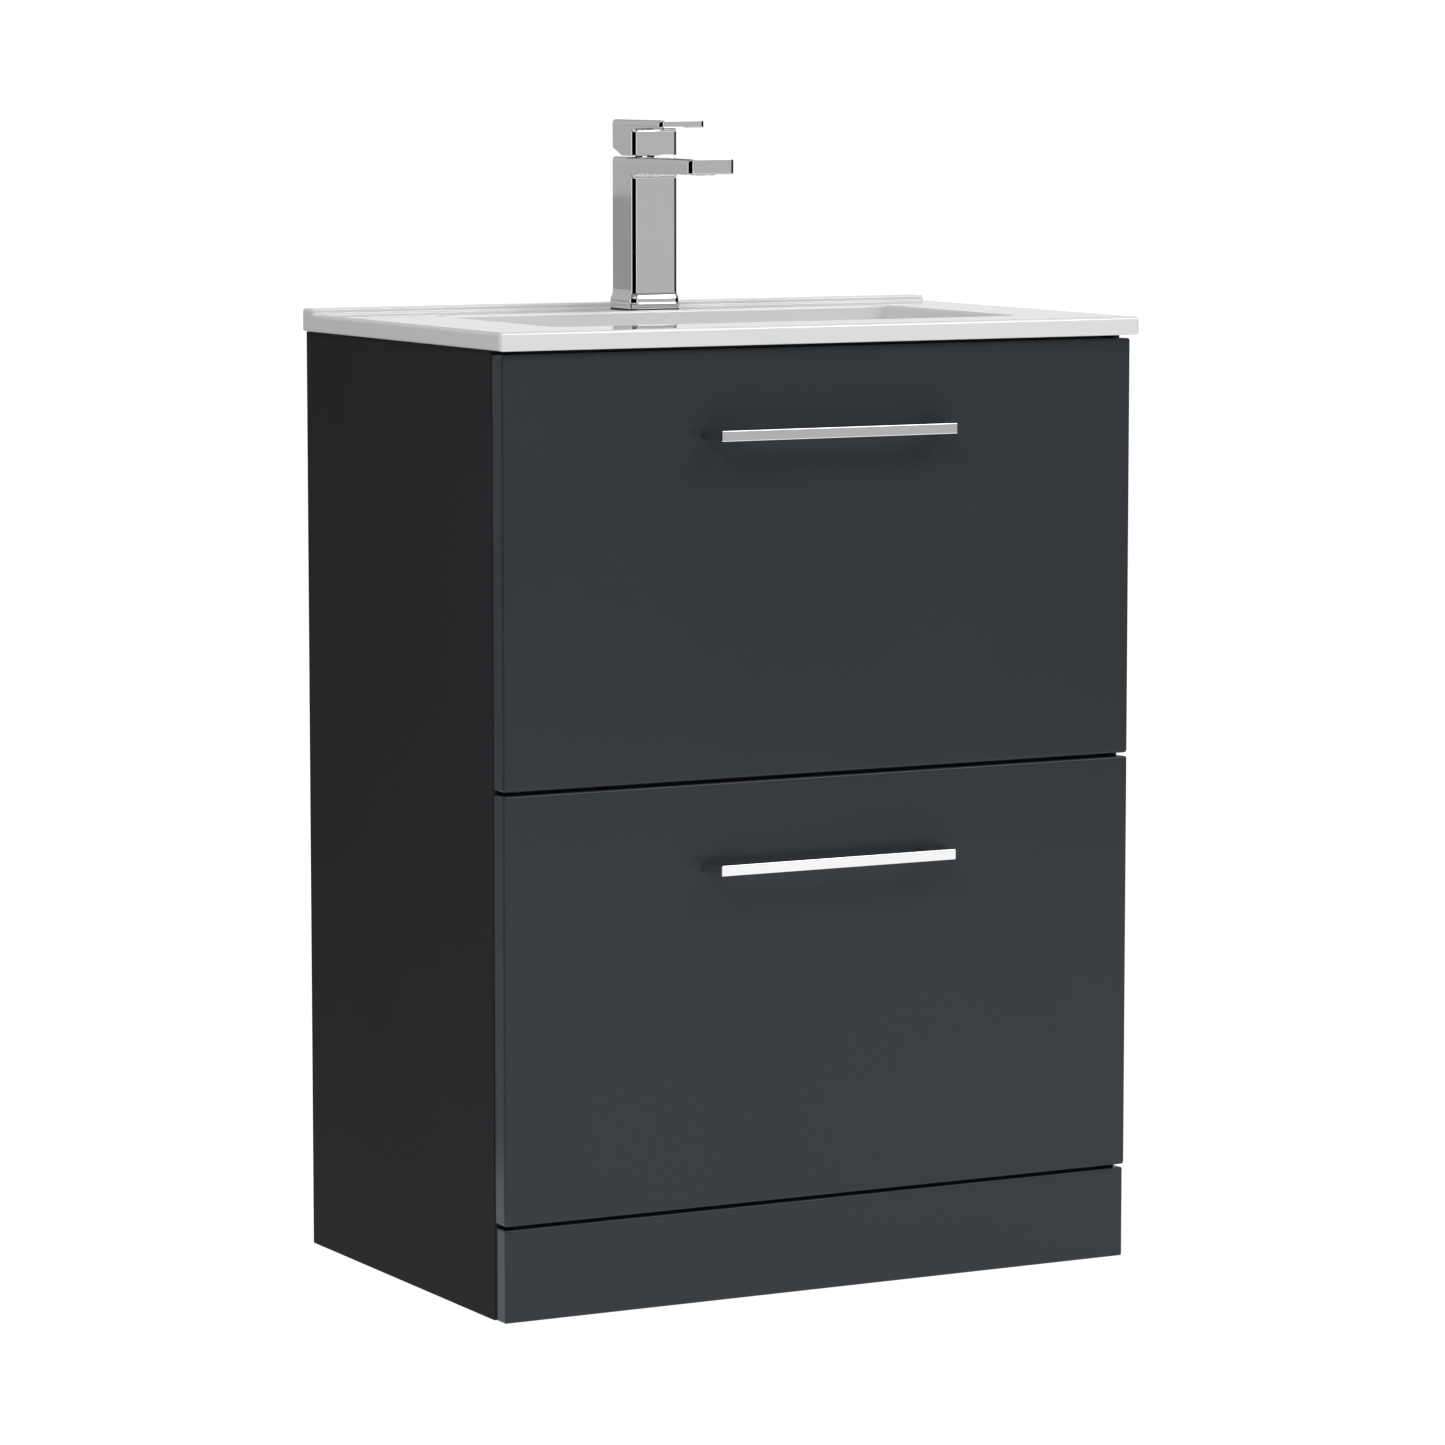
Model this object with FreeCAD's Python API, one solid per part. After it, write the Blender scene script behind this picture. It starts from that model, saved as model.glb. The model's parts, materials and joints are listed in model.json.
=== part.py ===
"""Floor-standing bathroom vanity: two-drawer cabinet, ceramic basin, mixer tap, waste and bottle trap.

Cabinet coordinates used below: X runs left to right with 0 on the centre line, Y runs from the
drawer faces (0) back to the wall, Z runs up from the floor. save() moves each piece to the row
frame, whose origin is the bottom centre of the whole object's box.
"""

import FreeCAD
import Part
import math
import os

Vector = FreeCAD.Vector

# ---- driving dimensions, millimetres ----
BOARD = 18.0                      # carcass board and drawer front thickness
THIN_BOARD = 12.0                 # drawer box board thickness
CABINET_WIDTH = 600.0
CABINET_HEIGHT = 801.0
WALL_Y = 383.0                    # plane of the wall behind the cabinet
CARCASS_Y = 19.5                  # front edges of the carcass boards
GAP = 3.0                         # shadow gap round the drawer fronts
PLINTH_HEIGHT = 78.0
FRONT_HEIGHT = 357.0
FRONT_WIDTH = 598.0
FRONT_EDGE_R = 2.0

BASIN_WIDTH = 608.0
BASIN_OVERHANG = 7.0              # ahead of the drawer faces
BASIN_EDGE = 15.5                 # visible edge height
UPSTAND_HEIGHT = 4.5
UPSTAND_DEPTH = 20.5
BOWL_WIDTH = 440.0
BOWL_FRONT_Y = 58.0
BOWL_BACK_Y = 292.0
BOWL_DEPTH = 104.0
BOWL_WALL = 7.0
BOWL_CORNER_R = 14.0              # in plan, at the rim
BOWL_WALL_DEPTH = 66.0            # straight part of the walls
BOWL_WALL_LEAN = 8.0              # inset at the foot of the straight part
BOWL_SWEEP = 46.0                 # width of the curve from wall to floor
BOWL_SWEEP_STEPS = 6

HANDLE_LENGTH = 224.0
HANDLE_HEIGHT = 9.0
HANDLE_REACH = 28.0
HANDLE_BAR = 7.0                  # depth of the grip bar
HANDLE_FOOT = 21.0                # width of a foot at the drawer face
HANDLE_FLARE = 3.5                # how far a foot spreads past the bar's end
HANDLE_HOLE_SPACING = 192.0
HANDLE_DROP = 70.0                # handle centre below the drawer front's top edge

DRAWER_LENGTH = 300.0
RUNNER_THICKNESS = 12.7
RUNNER_HEIGHT = 45.0
RUNNER_SHEET = 1.2
RUNNER_STEP = 3.8                 # height lost at each nested flange: one sheet and one ball gap
LOWER_BOX_HEIGHT = 192.0
UPPER_BOX_HEIGHT = 135.0
BOX_CLEARANCE = 12.0              # drawer box above the board below it
RECESS_HALF = 70.0                # half width of the trap recess in the upper drawer
RECESS_FRONT_Y = 130.0

TAP_Y = 326.0
TAP_WIDTH = 45.0
TAP_DEPTH = 42.5
TAP_CORNER_R = 4.5
TAP_FLANGE = 5.5
TAP_FLANGE_REACH = 2.5
TAP_FLARE = ((2.1, 1.0), (0.8, 3.0), (0.0, 8.0))   # reach, and height above DECK_Z + TAP_FLANGE
TAP_COLUMN_TOP = 133.3            # column and spout top above the deck
TAP_SPOUT_REACH = 105.8           # spout tip ahead of the column
TAP_SPOUT_ROOT = 14.2
TAP_SPOUT_TIP = 13.4
LEVER_GAP = 0.9
LEVER_TOP = 165.7                 # lever top above the deck
LEVER_REACH = 51.0                # lever tip ahead of the column
LEVER_TIP = 6.6
LEVER_ROOT = 8.0
LEVER_RELIEF = 8.4                # rise of the cut under the lever's rear half
PIVOT_RISE = 6.0                  # lever pivot above the column top

PIPE_R = 16.0
OUTLET_Z = 590.0

# ---- derived places ----
HALF = CABINET_WIDTH / 2
INNER = HALF - BOARD
BASE_TOP = PLINTH_HEIGHT + BOARD
LOWER_FRONT_Z = PLINTH_HEIGHT + GAP
UPPER_FRONT_Z = LOWER_FRONT_Z + FRONT_HEIGHT + GAP
DECK_Z = CABINET_HEIGHT + BASIN_EDGE
BOWL_CENTRE_Y = (BOWL_FRONT_Y + BOWL_BACK_Y) / 2
BOWL_FLOOR_Z = DECK_Z - BOWL_DEPTH
MIDDLE_RAIL_Z = UPPER_FRONT_Z - GAP / 2 - BOARD / 2
BOX_OUTER = INNER - RUNNER_THICKNESS
BOX_INNER = BOX_OUTER - THIN_BOARD
BOX_BACK_Y = BOARD + DRAWER_LENGTH
LOWER_BOX_Z = BASE_TOP + BOX_CLEARANCE
UPPER_BOX_Z = MIDDLE_RAIL_Z + BOARD + BOX_CLEARANCE + 4.5
LOWER_RUNNER_Z = LOWER_BOX_Z + 47.0
UPPER_RUNNER_Z = UPPER_BOX_Z + 45.0
COLUMN_TOP_Z = DECK_Z + TAP_COLUMN_TOP
COLUMN_FRONT_Y = TAP_Y - TAP_DEPTH / 2
SPOUT_FRONT_Y = COLUMN_FRONT_Y - TAP_SPOUT_REACH
PIVOT_Z = COLUMN_TOP_Z + PIVOT_RISE
SHIFT = Vector(0, (HANDLE_REACH - WALL_Y) / 2, 0)


# ---- small builders ----
def save(name, *solids):
    """Writes one node: a single solid, or a group of separate ones."""
    shape = solids[0] if len(solids) == 1 else Part.makeCompound(list(solids))
    shape = shape.copy()
    shape.translate(SHIFT)
    shape.exportStep(os.path.join("parts", name + ".step"))


def block(x0, x1, y0, y1, z0, z1):
    return Part.makeBox(x1 - x0, y1 - y0, z1 - z0, Vector(x0, y0, z0))


def rod(radius, length, x, y, z, direction=(0, 0, 1)):
    return Part.makeCylinder(radius, length, Vector(x, y, z), Vector(*direction))


def ring(outer, inner, length, x, y, z, direction=(0, 0, 1)):
    return rod(outer, length, x, y, z, direction).cut(rod(inner, length, x, y, z, direction))


def cut_all(shape, tools):
    return shape.cut(Part.makeCompound(tools)) if tools else shape


def mirrored(shape):
    """The same piece on the other side of the centre line."""
    return shape.mirror(Vector(0, 0, 0), Vector(1, 0, 0))


def both_sides(shape):
    return [shape, mirrored(shape)]


def round_edges(shape, radius, keep):
    return shape.makeFillet(radius, [edge for edge in shape.Edges if keep(edge)])


def upright(edge):
    box = edge.BoundBox
    return box.ZLength > 1 and box.XLength < 0.01 and box.YLength < 0.01


def rounded_wire(x0, x1, y0, y1, radius, z):
    """A rectangle with round corners, level at height z."""
    corners = [(x1 - radius, y0 + radius, -90), (x1 - radius, y1 - radius, 0),
               (x0 + radius, y1 - radius, 90), (x0 + radius, y0 + radius, 180)]
    arcs = []
    for x, y, start in corners:
        points = [Vector(x + radius * math.cos(math.radians(start + turn)),
                         y + radius * math.sin(math.radians(start + turn)), z) for turn in (0, 45, 90)]
        arcs.append(Part.Arc(*points).toShape())
    edges = []
    for index, arc in enumerate(arcs):
        following = arcs[(index + 1) % 4]
        edges.append(arc)
        edges.append(Part.makeLine(arc.lastVertex().Point, following.firstVertex().Point))
    return Part.Wire(edges)


def rounded_block(x0, x1, y0, y1, radius, z0, z1):
    return Part.Face(rounded_wire(x0, x1, y0, y1, radius, z0)).extrude(Vector(0, 0, z1 - z0))


def side_profile(points, x0, x1):
    """A solid of constant section: points are (y, z), carried from x0 to x1."""
    corners = [Vector(x0, y, z) for y, z in points]
    return Part.Face(Part.makePolygon(corners + corners[:1])).extrude(Vector(x1 - x0, 0, 0))


def hexagon(across, z0, z1, x, y):
    radius = across / math.sqrt(3)
    corners = [Vector(x + radius * math.cos(math.radians(a)), y + radius * math.sin(math.radians(a)), z0)
               for a in range(0, 360, 60)]
    return Part.Face(Part.makePolygon(corners + corners[:1])).extrude(Vector(0, 0, z1 - z0))


# ---- carcass fixings, made first because the boards are drilled for them ----
DOWEL_R = 4.0
DOWEL_LENGTH = 30.0
DOWEL_IN_SIDE = 12.0
CAM_R = 7.5
CAM_DEPTH = 12.5
CAM_REACH = 24.0                  # cam centre from the board's end
CAM_BOLT_R = 3.0


def rail_places():
    """Dowel places (y, z) where each cross board meets a side panel."""
    mid = BOARD / 2
    return {
        "base_panel": [(60.0, BASE_TOP - mid), (340.0, BASE_TOP - mid)],
        "back_rail_top": [(WALL_Y - mid, 741.0), (WALL_Y - mid, 781.0)],
        "back_rail_bottom": [(WALL_Y - mid, 116.0), (WALL_Y - mid, 148.0)],
        "front_rail_top": [(CARCASS_Y + mid, 755.0), (CARCASS_Y + mid, 787.0)],
        "middle_rail": [(CARCASS_Y + 14, MIDDLE_RAIL_Z + mid), (CARCASS_Y + 46, MIDDLE_RAIL_Z + mid)],
        "plinth_rear_rail": [(WALL_Y - mid, 22.0), (WALL_Y - mid, 56.0)],
    }


def dowels():
    solids = []
    for places in rail_places().values():
        for y, z in places:
            solids += both_sides(rod(DOWEL_R, DOWEL_LENGTH, INNER + DOWEL_IN_SIDE, y, z, (-1, 0, 0)))
    return solids


def cam_places():
    """Cam fittings (y, z) under the base panel, one pair at each end."""
    return [(110.0, PLINTH_HEIGHT), (290.0, PLINTH_HEIGHT)]


def cam_housings():
    solids = []
    for y, z in cam_places():
        cam = rod(CAM_R, CAM_DEPTH, INNER - CAM_REACH, y, z)
        slot = block(INNER - CAM_REACH - 5, INNER - CAM_REACH + 5, y - 0.8, y + 0.8, z, z + 1.5)
        bolt = rod(CAM_BOLT_R, CAM_REACH, INNER, y, z + BOARD / 2, (-1, 0, 0))
        solids += both_sides(cam.cut(slot).cut(bolt))
    return solids


def cam_bolts():
    solids = []
    for y, z in cam_places():
        solids += both_sides(rod(CAM_BOLT_R, CAM_REACH + DOWEL_IN_SIDE, INNER + DOWEL_IN_SIDE, y,
                                 z + BOARD / 2, (-1, 0, 0)))
    return solids


# ---- screws ----
SCREW_HEAD_R = 3.5
SCREW_SHANK_R = 1.75


def flush_screw(x, y, z, direction, shank):
    """A screw whose head fills one sheet thickness, pointing along direction (+1 or -1 in X)."""
    head = rod(SCREW_HEAD_R, RUNNER_SHEET, x, y, z, (direction, 0, 0))
    body = rod(SCREW_SHANK_R, shank, x + direction * RUNNER_SHEET, y, z, (direction, 0, 0))
    return head.fuse(body).removeSplitter()


RUNNER_SCREW_Y = (55.0, 285.0)


def runner_screws():
    """Screws that hold the fixed runner members to the side panels."""
    return [screw for z in (LOWER_RUNNER_Z, UPPER_RUNNER_Z) for y in RUNNER_SCREW_Y
            for screw in both_sides(flush_screw(INNER - RUNNER_SHEET, y, z, 1, DOWEL_IN_SIDE))]


def slide_screws(runner_z):
    """Screws that hold the sliding runner members to a drawer box."""
    return [screw for y in (75.0, 245.0)
            for screw in both_sides(flush_screw(BOX_OUTER + RUNNER_SHEET, y, runner_z, -1, 9.0))]


HANDLE_SCREW_R = 2.0
HANDLE_SCREW_HEAD_R = 4.0


def handle_screws(front_z):
    z = handle_z(front_z)
    solids = []
    for x in (-HANDLE_HOLE_SPACING / 2, HANDLE_HOLE_SPACING / 2):
        shank = rod(HANDLE_SCREW_R, BOARD + 8, x, -8, z, (0, 1, 0))
        head = rod(HANDLE_SCREW_HEAD_R, 2.4, x, BOARD, z, (0, 1, 0))
        solids.append(shank.fuse(head).removeSplitter())
    return solids


def handle_z(front_z):
    return front_z + FRONT_HEIGHT - HANDLE_DROP


# ---- wall brackets ----
BRACKET_SHEET = 2.0
BRACKET_Z = 675.0
BRACKET_HEIGHT = 34.0
BRACKET_LEG = 44.0
BRACKET_HOLE_R = 3.0


def wall_bracket_right():
    """A steel angle: one leg on the side panel, one leg against the wall with the fixing hole."""
    top = BRACKET_Z + BRACKET_HEIGHT
    side = block(INNER - BRACKET_SHEET, INNER, WALL_Y - BRACKET_LEG, WALL_Y, BRACKET_Z, top)
    back = block(INNER - BRACKET_LEG, INNER, WALL_Y - BRACKET_SHEET, WALL_Y, BRACKET_Z, top)
    hole = rod(BRACKET_HOLE_R, BRACKET_SHEET, INNER - 30, WALL_Y - BRACKET_SHEET, BRACKET_Z + 17, (0, 1, 0))
    return cut_all(side.fuse(back).removeSplitter().cut(hole), bracket_screws_right())


def bracket_screws_right():
    solids = []
    for y in (WALL_Y - 32, WALL_Y - 16):
        head = rod(SCREW_HEAD_R, 2.0, INNER - BRACKET_SHEET - 2.0, y, BRACKET_Z + 17, (1, 0, 0))
        shank = rod(SCREW_SHANK_R, BRACKET_SHEET + 12, INNER - BRACKET_SHEET, y, BRACKET_Z + 17, (1, 0, 0))
        solids.append(head.fuse(shank).removeSplitter())
    return solids


def bracket_screws():
    return [screw for right in bracket_screws_right() for screw in both_sides(right)]


# ---- carcass boards ----
def side_panel():
    panel = block(INNER, HALF, CARCASS_Y, WALL_Y, 0, CABINET_HEIGHT)
    return cut_all(panel, dowels() + cam_bolts() + runner_screws() + bracket_screws())


def base_panel():
    panel = block(-INNER, INNER, CARCASS_Y, WALL_Y, PLINTH_HEIGHT, BASE_TOP)
    return cut_all(panel, dowels() + cam_bolts() + cam_housings_blank())


def cam_housings_blank():
    """The plain holes that the cams sit in."""
    holes = [rod(CAM_R, CAM_DEPTH, INNER - CAM_REACH, y, z) for y, z in cam_places()]
    return [copy for hole in holes for copy in both_sides(hole)]


def rail(y0, y1, z0, z1):
    return cut_all(block(-INNER, INNER, y0, y1, z0, z1), dowels())


def plinth_front():
    half = FRONT_WIDTH / 2 - 0.75
    board = block(-half, half, CARCASS_Y - BOARD, CARCASS_Y, 0, PLINTH_HEIGHT)
    return round_edges(board, FRONT_EDGE_R, lambda edge: upright(edge) and edge.BoundBox.YMin < CARCASS_Y - 1)


def plinth_corner_blocks():
    corner = block(INNER - 38, INNER, CARCASS_Y, CARCASS_Y + 38, 12, 66)
    return both_sides(corner.cut(block(INNER - 60, INNER - 16, CARCASS_Y + 16, CARCASS_Y + 60, 0, 80)))


def drawer_bumpers():
    """Clear domes on the side panels' front edges, just short of the closed drawers."""
    height = CARCASS_Y - BOARD - 0.3
    lifts = (25.0, FRONT_HEIGHT - 25.0)
    places = [front + lift for front in (LOWER_FRONT_Z, UPPER_FRONT_Z) for lift in lifts]
    pads = [rod(4.5, height, INNER + BOARD / 2, CARCASS_Y, z, (0, -1, 0)) for z in places]
    return [copy for pad in pads for copy in both_sides(pad)]


# ---- drawer runners: three nested channels, each a sheet that opens towards the next ----
def channel(x_web, x_open, height, y0, y1, z):
    """A channel whose web stands at x_web and whose flanges reach to x_open."""
    low, high = min(x_web, x_open), max(x_web, x_open)
    solid = block(low, high, y0, y1, z - height / 2, z + height / 2)
    towards = 1 if x_open > x_web else -1
    web_inner = x_web + towards * RUNNER_SHEET
    room = [min(web_inner, x_open + towards), max(web_inner, x_open + towards)]
    inner = height / 2 - RUNNER_SHEET
    return solid.cut(block(room[0], room[1], y0 - 1, y1 + 1, z - inner, z + inner))


def runner_outer(z):
    member = channel(INNER, INNER - RUNNER_THICKNESS + 1.7, RUNNER_HEIGHT, CARCASS_Y + 2.5, BOX_BACK_Y, z)
    return cut_all(member, runner_screws())


def runner_middle(z):
    return channel(INNER - 1.8, INNER - RUNNER_THICKNESS + 1.7, RUNNER_HEIGHT - 2 * RUNNER_STEP,
                   CARCASS_Y + 2.5, BOX_BACK_Y - 4, z)


def runner_inner(z):
    height = RUNNER_HEIGHT - 4 * RUNNER_STEP
    member = channel(BOX_OUTER, INNER - 4.0, height, CARCASS_Y + 2.5, BOX_BACK_Y - 2, z)
    return cut_all(member, slide_screws(z))


# ---- drawers ----
def drawer_front(z):
    board = block(-FRONT_WIDTH / 2, FRONT_WIDTH / 2, 0, BOARD, z, z + FRONT_HEIGHT)
    board = round_edges(board, FRONT_EDGE_R, lambda edge: edge.BoundBox.YMax < BOARD / 2)
    return cut_all(board, handle_screws(z))


def handle(front_z):
    """A flat bar with two wide feet whose inner corners sweep into the bar."""
    half = HANDLE_LENGTH / 2
    root = half + HANDLE_FLARE
    inner_root = half - HANDLE_FOOT
    inner_bar = inner_root - 9.0
    rear = HANDLE_BAR - HANDLE_REACH
    z = handle_z(front_z) - HANDLE_HEIGHT / 2

    def point(x, y):
        return Vector(x, y, z)

    def sweep(side):
        """Inner edge of one foot: straight from the face, then an arc into the bar's rear."""
        mid = point(side * (inner_bar + 6.5), rear + 2.6)
        return Part.Arc(point(side * inner_bar, rear), mid, point(side * inner_root, rear + 9.0)).toShape()

    def flare(side):
        """Outer edge of one foot, spreading gently towards the face."""
        start, end = point(side * half, rear), point(side * root, 0)
        return Part.Arc(start, point(side * (half + 0.8), rear / 2), end).toShape()

    def line(a, b):
        return Part.makeLine(point(*a), point(*b))

    edges = [line((-half, -HANDLE_REACH), (half, -HANDLE_REACH)),
             line((half, -HANDLE_REACH), (half, rear)), flare(1),
             line((root, 0), (inner_root, 0)), line((inner_root, 0), (inner_root, rear + 9.0)), sweep(1),
             line((inner_bar, rear), (-inner_bar, rear)), sweep(-1),
             line((-inner_root, rear + 9.0), (-inner_root, 0)), line((-inner_root, 0), (-root, 0)), flare(-1),
             line((-half, rear), (-half, -HANDLE_REACH))]
    body = Part.Face(Part.Wire(Part.__sortEdges__(edges))).extrude(Vector(0, 0, HANDLE_HEIGHT))
    return cut_all(body, handle_screws(front_z))


def box_side(z, height, runner_z):
    board = block(BOX_INNER, BOX_OUTER, BOARD, BOX_BACK_Y, z, z + height)
    return cut_all(board, slide_screws(runner_z))


def box_base(z):
    return block(-BOX_INNER, BOX_INNER, BOARD, BOX_BACK_Y, z, z + THIN_BOARD)


def recess_cut():
    return block(-RECESS_HALF, RECESS_HALF, RECESS_FRONT_Y, BOX_BACK_Y + 1,
                 UPPER_BOX_Z - 1, UPPER_BOX_Z + 300)


def make_lower_drawer():
    z = LOWER_BOX_Z
    save("lower_drawer_front", drawer_front(LOWER_FRONT_Z))
    save("lower_drawer_sides", *both_sides(box_side(z, LOWER_BOX_HEIGHT, LOWER_RUNNER_Z)))
    save("lower_drawer_base", box_base(z))
    save("lower_drawer_back", block(-BOX_INNER, BOX_INNER, BOX_BACK_Y - THIN_BOARD, BOX_BACK_Y,
                                    z + THIN_BOARD, z + LOWER_BOX_HEIGHT))
    save("lower_handle", handle(LOWER_FRONT_Z))
    save("lower_drawer_screws", *handle_screws(LOWER_FRONT_Z), *slide_screws(LOWER_RUNNER_Z))
    save("lower_runner_inners", *both_sides(runner_inner(LOWER_RUNNER_Z)))
    save("lower_runner_middles", *both_sides(runner_middle(LOWER_RUNNER_Z)))


def make_upper_drawer():
    """The same box with a recess, open at the back, that clears the trap and its outlet pipe."""
    z = UPPER_BOX_Z
    floor = z + THIN_BOARD
    top = z + UPPER_BOX_HEIGHT
    wall = RECESS_HALF + THIN_BOARD
    save("upper_drawer_front", drawer_front(UPPER_FRONT_Z))
    save("upper_drawer_sides", *both_sides(box_side(z, UPPER_BOX_HEIGHT, UPPER_RUNNER_Z)))
    save("upper_drawer_base", box_base(z).cut(recess_cut()))
    back = block(wall, BOX_INNER, BOX_BACK_Y - THIN_BOARD, BOX_BACK_Y, floor, top)
    save("upper_drawer_backs", *both_sides(back))
    ahead = RECESS_FRONT_Y - THIN_BOARD
    save("upper_recess_sides", *both_sides(block(RECESS_HALF, wall, ahead, BOX_BACK_Y, floor, top)))
    save("upper_recess_front", block(-RECESS_HALF, RECESS_HALF, ahead, RECESS_FRONT_Y, floor, top))
    save("upper_handle", handle(UPPER_FRONT_Z))
    save("upper_drawer_screws", *handle_screws(UPPER_FRONT_Z), *slide_screws(UPPER_RUNNER_Z))
    save("upper_runner_inners", *both_sides(runner_inner(UPPER_RUNNER_Z)))
    save("upper_runner_middles", *both_sides(runner_middle(UPPER_RUNNER_Z)))


def make_carcass():
    mid_rail_depth = 60.0
    right = side_panel()
    save("side_panel_right", right)
    save("side_panel_left", mirrored(right))
    save("base_panel", base_panel())
    save("plinth_front", plinth_front())
    save("plinth_rear_rail", rail(WALL_Y - BOARD, WALL_Y, 0, PLINTH_HEIGHT))
    save("plinth_corner_blocks", *plinth_corner_blocks())
    save("back_rail_top", rail(WALL_Y - BOARD, WALL_Y, 721.0, CABINET_HEIGHT))
    save("back_rail_bottom", rail(WALL_Y - BOARD, WALL_Y, BASE_TOP, BASE_TOP + 72.0))
    save("front_rail_top", rail(CARCASS_Y, CARCASS_Y + BOARD, 741.0, CABINET_HEIGHT))
    save("middle_rail", rail(CARCASS_Y, CARCASS_Y + mid_rail_depth, MIDDLE_RAIL_Z, MIDDLE_RAIL_Z + BOARD))
    save("panel_dowels", *dowels())
    save("cam_housings", *cam_housings())
    save("cam_bolts", *cam_bolts())
    save("wall_brackets", *both_sides(wall_bracket_right()))
    save("carcass_screws", *runner_screws(), *bracket_screws())
    save("drawer_bumpers", *drawer_bumpers())
    outers = [member for z in (LOWER_RUNNER_Z, UPPER_RUNNER_Z) for member in both_sides(runner_outer(z))]
    save("runner_outers", *outers)


# ---- basin ----
OVERFLOW_R = 12.0
OVERFLOW_DEPTH = 38.0             # below the deck
OVERFLOW_Z = DECK_Z - OVERFLOW_DEPTH
WALL_SLOPE = math.atan(BOWL_WALL_LEAN / BOWL_WALL_DEPTH)
OVERFLOW_AXIS = (0, math.cos(WALL_SLOPE), -math.sin(WALL_SLOPE))
OVERFLOW_WALL_Y = BOWL_BACK_Y - BOWL_WALL_LEAN * OVERFLOW_DEPTH / BOWL_WALL_DEPTH
TAP_HOLE_R = 17.5
WASTE_HOLE_R = 22.5


def bowl_profile():
    """(depth, inset, corner radius) from the rim down: a leaning wall, then a quarter ellipse."""
    profile = [(0.0, 0.0, BOWL_CORNER_R)]
    for step in range(BOWL_SWEEP_STEPS + 1):
        turn = math.radians(90.0 * step / BOWL_SWEEP_STEPS)
        depth = BOWL_WALL_DEPTH + (BOWL_DEPTH - BOWL_WALL_DEPTH) * math.sin(turn)
        inset = BOWL_WALL_LEAN + BOWL_SWEEP * (1 - math.cos(turn))
        profile.append((depth, inset, BOWL_CORNER_R + 0.5 * inset))
    return profile


def bowl_loft(grow, drop):
    """The bowl's inside (grow 0), or its outside when every section is grown and lowered."""
    sections = []
    for depth, inset, radius in bowl_profile():
        half = BOWL_WIDTH / 2 - inset + grow
        sections.append(rounded_wire(-half, half, BOWL_FRONT_Y + inset - grow, BOWL_BACK_Y - inset + grow,
                                     radius + grow, DECK_Z - depth - drop))
    return Part.makeLoft(sections, True, True)


def basin():
    half = BASIN_WIDTH / 2
    slab = rounded_block(-half, half, -BASIN_OVERHANG, WALL_Y, 3.0, CABINET_HEIGHT, DECK_Z)
    upstand = rounded_block(-half, half, WALL_Y - UPSTAND_DEPTH, WALL_Y, 3.0,
                            DECK_Z - 5, DECK_Z + UPSTAND_HEIGHT)
    shell = bowl_loft(BOWL_WALL, BOWL_WALL)
    body = slab.fuse([upstand, shell]).removeSplitter()
    body = body.cut(bowl_loft(0, 0))
    tap_hole = rod(TAP_HOLE_R, BASIN_EDGE, 0, TAP_Y, CABINET_HEIGHT)
    waste_hole = rod(WASTE_HOLE_R, 30, 0, BOWL_CENTRE_Y, BOWL_FLOOR_Z - 20)
    return cut_all(body, [tap_hole, waste_hole, along_overflow(OVERFLOW_R, -10.0, 30.0)])


def along_overflow(radius, start, length):
    """A rod square to the bowl's back wall, starting that far behind the wall's inner face."""
    _, along_y, along_z = OVERFLOW_AXIS
    y, z = OVERFLOW_WALL_Y + start * along_y, OVERFLOW_Z + start * along_z
    return rod(radius, length, 0, y, z, OVERFLOW_AXIS)


def overflow_ring():
    """A chrome ring in the back wall of the bowl, its lip against the wall."""
    tube = along_overflow(OVERFLOW_R, 0, BOWL_WALL - 1)
    lip = along_overflow(OVERFLOW_R + 2.5, -2.0, 2.0)
    return tube.fuse(lip).removeSplitter().cut(along_overflow(OVERFLOW_R - 2.5, -5.0, 20.0))


# ---- waste and trap ----
TAIL_R = 21.9
TAIL_BORE_R = 19.0
PLUG_STEM_R = 5.0
PLUG_GUIDE_R = 5.08
TAIL_END_Z = 645.0


def waste_body():
    """Flange, tail and the cross bar that guides the plug's stem."""
    x, y = 0, BOWL_CENTRE_Y
    flange = rod(32.0, 2.5, x, y, BOWL_FLOOR_Z)
    tail = rod(TAIL_R, BOWL_FLOOR_Z - TAIL_END_Z, x, y, TAIL_END_Z)
    bore = rod(TAIL_BORE_R, 90, x, y, TAIL_END_Z - 1)
    bar = block(-TAIL_BORE_R - 1, TAIL_BORE_R + 1, y - 8, y + 8, 684, 691)
    guide = rod(PLUG_GUIDE_R, 12, x, y, 682)
    bridge = bar.common(rod(TAIL_R, 20, x, y, 680))
    return flange.fuse(tail).cut(bore).fuse(bridge).removeSplitter().cut(guide)


def waste_plug():
    """Push-button plug: a shallow dome on a neck, with a guide stem."""
    x, y = 0, BOWL_CENTRE_Y
    cap = round_edges(rod(31.0, 4.0, x, y, BOWL_FLOOR_Z + 2.8), 1.8,
                      lambda edge: edge.BoundBox.ZMin > BOWL_FLOOR_Z + 5)
    neck = rod(15.0, 7.0, x, y, BOWL_FLOOR_Z - 4.2)
    stem = rod(PLUG_STEM_R, 32.0, x, y, BOWL_FLOOR_Z - 36.2)
    return cap.fuse([neck, stem]).removeSplitter()


def trap_inlet_nut():
    y = BOWL_CENTRE_Y
    body = rod(29.0, 34, 0, y, 628)
    groove = block(-2, 2, 26.5, 32, 627, 663)
    grips = [groove.rotated(Vector(0, 0, 0), Vector(0, 0, 1), 30 * n) for n in range(12)]
    for grip in grips:
        grip.translate(Vector(0, y, 0))
    return cut_all(body, [rod(TAIL_R, 40, 0, y, 627), rod(24.0, 17, 0, y, 627)] + grips)


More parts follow.
